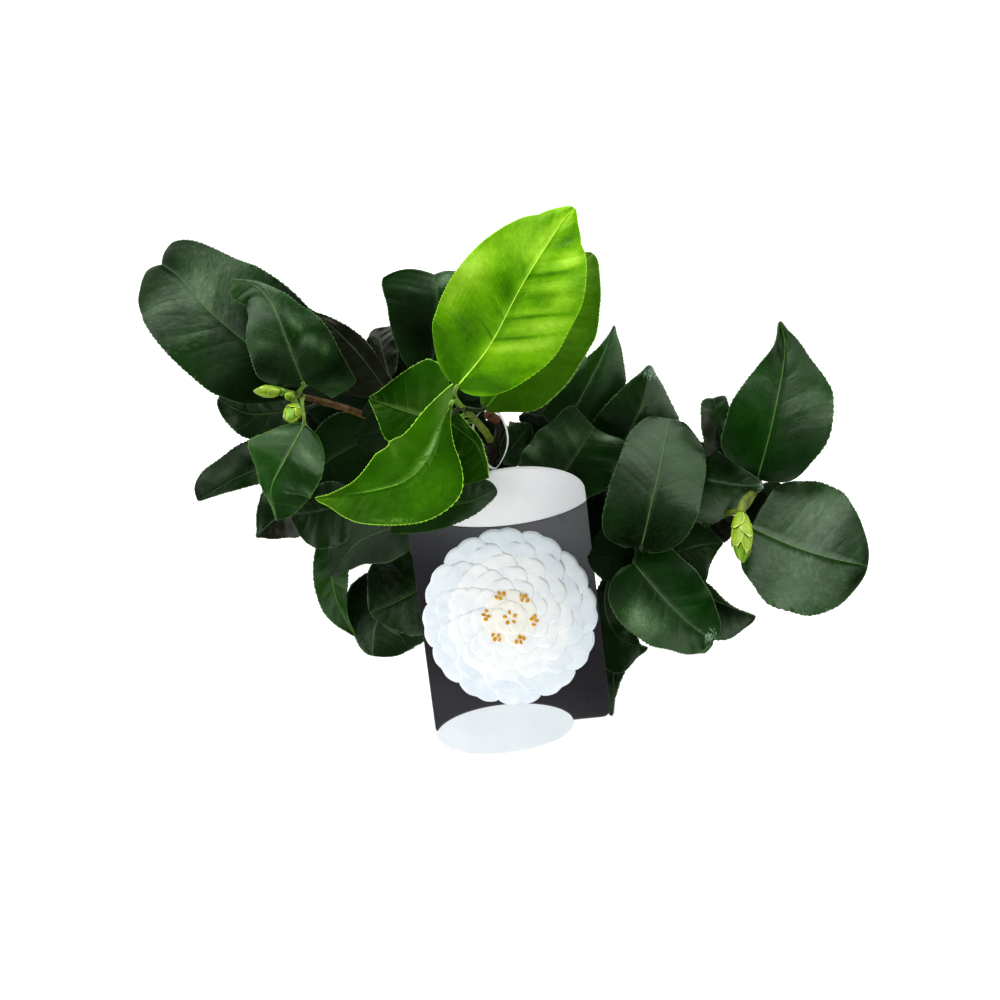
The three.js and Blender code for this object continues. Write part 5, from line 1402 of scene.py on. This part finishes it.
# ------------------------------------------------------------------ strap
strap = Batch()
LOOP = [[-2.2, -14.4, 263.6], [1.4, -11.0, 267.2], [3.4, -6.0, 272.0], [2.3, 0.4, 276.6], [-1.2, 5.2, 279.4],
        [-6.2, 6.6, 278.2], [-10.4, 4.4, 273.6], [-11.2, -1.6, 268.4], [-8.8, -8.4, 264.6]]
ring = spline(LOOP, 120, closed=True)
centre = ring.mean(0)
tan = unit(np.roll(ring, -1, 0) - np.roll(ring, 1, 0))
outw = ring - centre
outw = unit(outw - tan * (outw * tan).sum(1)[:, None])
upw = unit(np.cross(tan, outw))
sec = []
for a in np.linspace(0, TAU, 12, endpoint=False):
    ca, sa = math.cos(a), math.sin(a)
    sec.append((0.17 * np.sign(ca) * abs(ca) ** 0.6, 1.0 * np.sign(sa) * abs(sa) ** 0.35))
V = np.stack([ring + outw * p + upw * q for p, q in sec], 1)
n, m = len(ring), len(sec)
i, j = np.meshgrid(np.arange(n), np.arange(m), indexing="ij")
i2, j2 = (i + 1) % n, (j + 1) % m
F = np.stack([i * m + j, i * m + j2, i2 * m + j2, i2 * m + j], -1).reshape(-1, 4)
a, b, c = V[0, 0], V[0, 1], V[1, 0]
if np.cross(b - a, c - a) @ (a - ring[0]) < 0:
    F = F[:, ::-1]
strap.add(V.reshape(-1, 3), F, M_STRAP)

# ------------------------------------------------------------------ pieces
made = []


def piece(batch, name, nodes):
    obj = batch.build(name, MATERIALS)
    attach(obj, "root")
    if nodes:
        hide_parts(*nodes)
    made.append((name, batch.triangles()))
    return obj


piece(limbs, "limbs", ["stem"] + ["bough_" + n for n in BOUGHS])
piece(green, "shoots_and_stalks", [])
for name, batch in pieces_of.items():
    piece(batch, "leaves_" + name, ["mass_" + name])
piece(buds, "buds", [])
piece(card, "card_sheet", ["tag_card"])
piece(printed, "card_ground", [])
piece(rosette, "card_rosette", [])
piece(strap, "card_strap", ["tag_strap"])
print("triangles", sum(t for _, t in made), made)

# ------------------------------------------------------------------ floor, light, camera
floor_mesh = bpy.data.meshes.new("floor")
R = 9.0
n = 96
ringv = [(R * math.cos(TAU * k / n), R * math.sin(TAU * k / n), 0.0) for k in range(n)]
floor_mesh.from_pydata(ringv, [], [list(range(n))])
floor = bpy.data.objects.new("floor", floor_mesh)
bpy.context.scene.collection.objects.link(floor)
fm = bpy.data.materials.new("floor")
fm.use_nodes = True
fb = fm.node_tree.nodes["Principled BSDF"]
fb.inputs["Base Color"].default_value = (0.93, 0.93, 0.93, 1)
fb.inputs["Roughness"].default_value = 0.9
fb.inputs["Specular IOR Level"].default_value = 0.1
floor_mesh.materials.append(fm)

world = bpy.data.worlds.new("sky")
bpy.context.scene.world = world
world.use_nodes = True
wn, wl = world.node_tree.nodes, world.node_tree.links
bg = wn["Background"]
tc = wn.new("ShaderNodeTexCoord")


def towards(v):
    """How far a direction of the sky points along v."""
    n = wn.new("ShaderNodeVectorMath")
    n.operation = "DOT_PRODUCT"
    n.inputs[1].default_value = v
    wl.new(tc.outputs["Generated"], n.inputs[0])
    return n.outputs["Value"]


def sum_of(a, k, b):
    """a * k + b"""
    n = wn.new("ShaderNodeMath")
    n.operation = "MULTIPLY_ADD"
    for socket, v in zip(n.inputs, (a, k, b)):
        if isinstance(v, (int, float)):
            socket.default_value = v
        else:
            wl.new(v, socket)
    return n.outputs[0]


# dim overhead, a bright band lower down all round
DIM, BRIGHT = 0.06, 2.2
band = wn.new("ShaderNodeMapRange")
band.interpolation_type = "SMOOTHSTEP"
band.inputs["From Min"].default_value = 0.50
band.inputs["From Max"].default_value = 0.84
band.inputs["To Min"].default_value = 1.0
band.inputs["To Max"].default_value = 0.0
wl.new(towards((0.0, -0.34, 0.94)), band.inputs["Value"])
around = sum_of(towards((-0.12, 0.35, 0.0)), BRIGHT, BRIGHT - DIM)
wl.new(sum_of(band.outputs[0], around, DIM), bg.inputs[0])
bg.inputs[1].default_value = 1.0


def area(name, where, look_at, size, power, colour=(1, 1, 1)):
    d = bpy.data.lights.new(name, "AREA")
    d.shape = "RECTANGLE"
    d.size, d.size_y = size
    d.energy = power
    d.color = colour
    o = bpy.data.objects.new(name, d)
    bpy.context.scene.collection.objects.link(o)
    o.location = where
    from mathutils import Vector
    o.rotation_euler = (Vector(look_at) - Vector(where)).to_track_quat("-Z", "Y").to_euler()
    return o


area("key", (-1.1, 1.3, 2.1), (0, -0.02, 0.22), (1.3, 1.3), 8.0)
area("fill", (1.7, -0.9, 1.2), (0, 0, 0.2), (1.4, 1.0), 2.5)

cam_data = bpy.data.cameras.new("camera")
cam_data.sensor_width = 36.0
cam_data.lens = 36.0 * DISTANCE / (1000 * SCALE)
cam_data.clip_start = 0.01
cam_data.clip_end = 50
cam = bpy.data.objects.new("camera", cam_data)
bpy.context.scene.collection.objects.link(cam)
cam.location = EYE / 1000.0
cam.rotation_euler = (math.pi / 2 - ELEVATION, 0, 0)
bpy.context.scene.camera = cam
bpy.context.scene.view_settings.view_transform = "Standard"
bpy.context.scene.view_settings.look = "None"
bpy.context.scene.view_settings.exposure = 0.35
bpy.context.scene.view_settings.gamma = 0.8
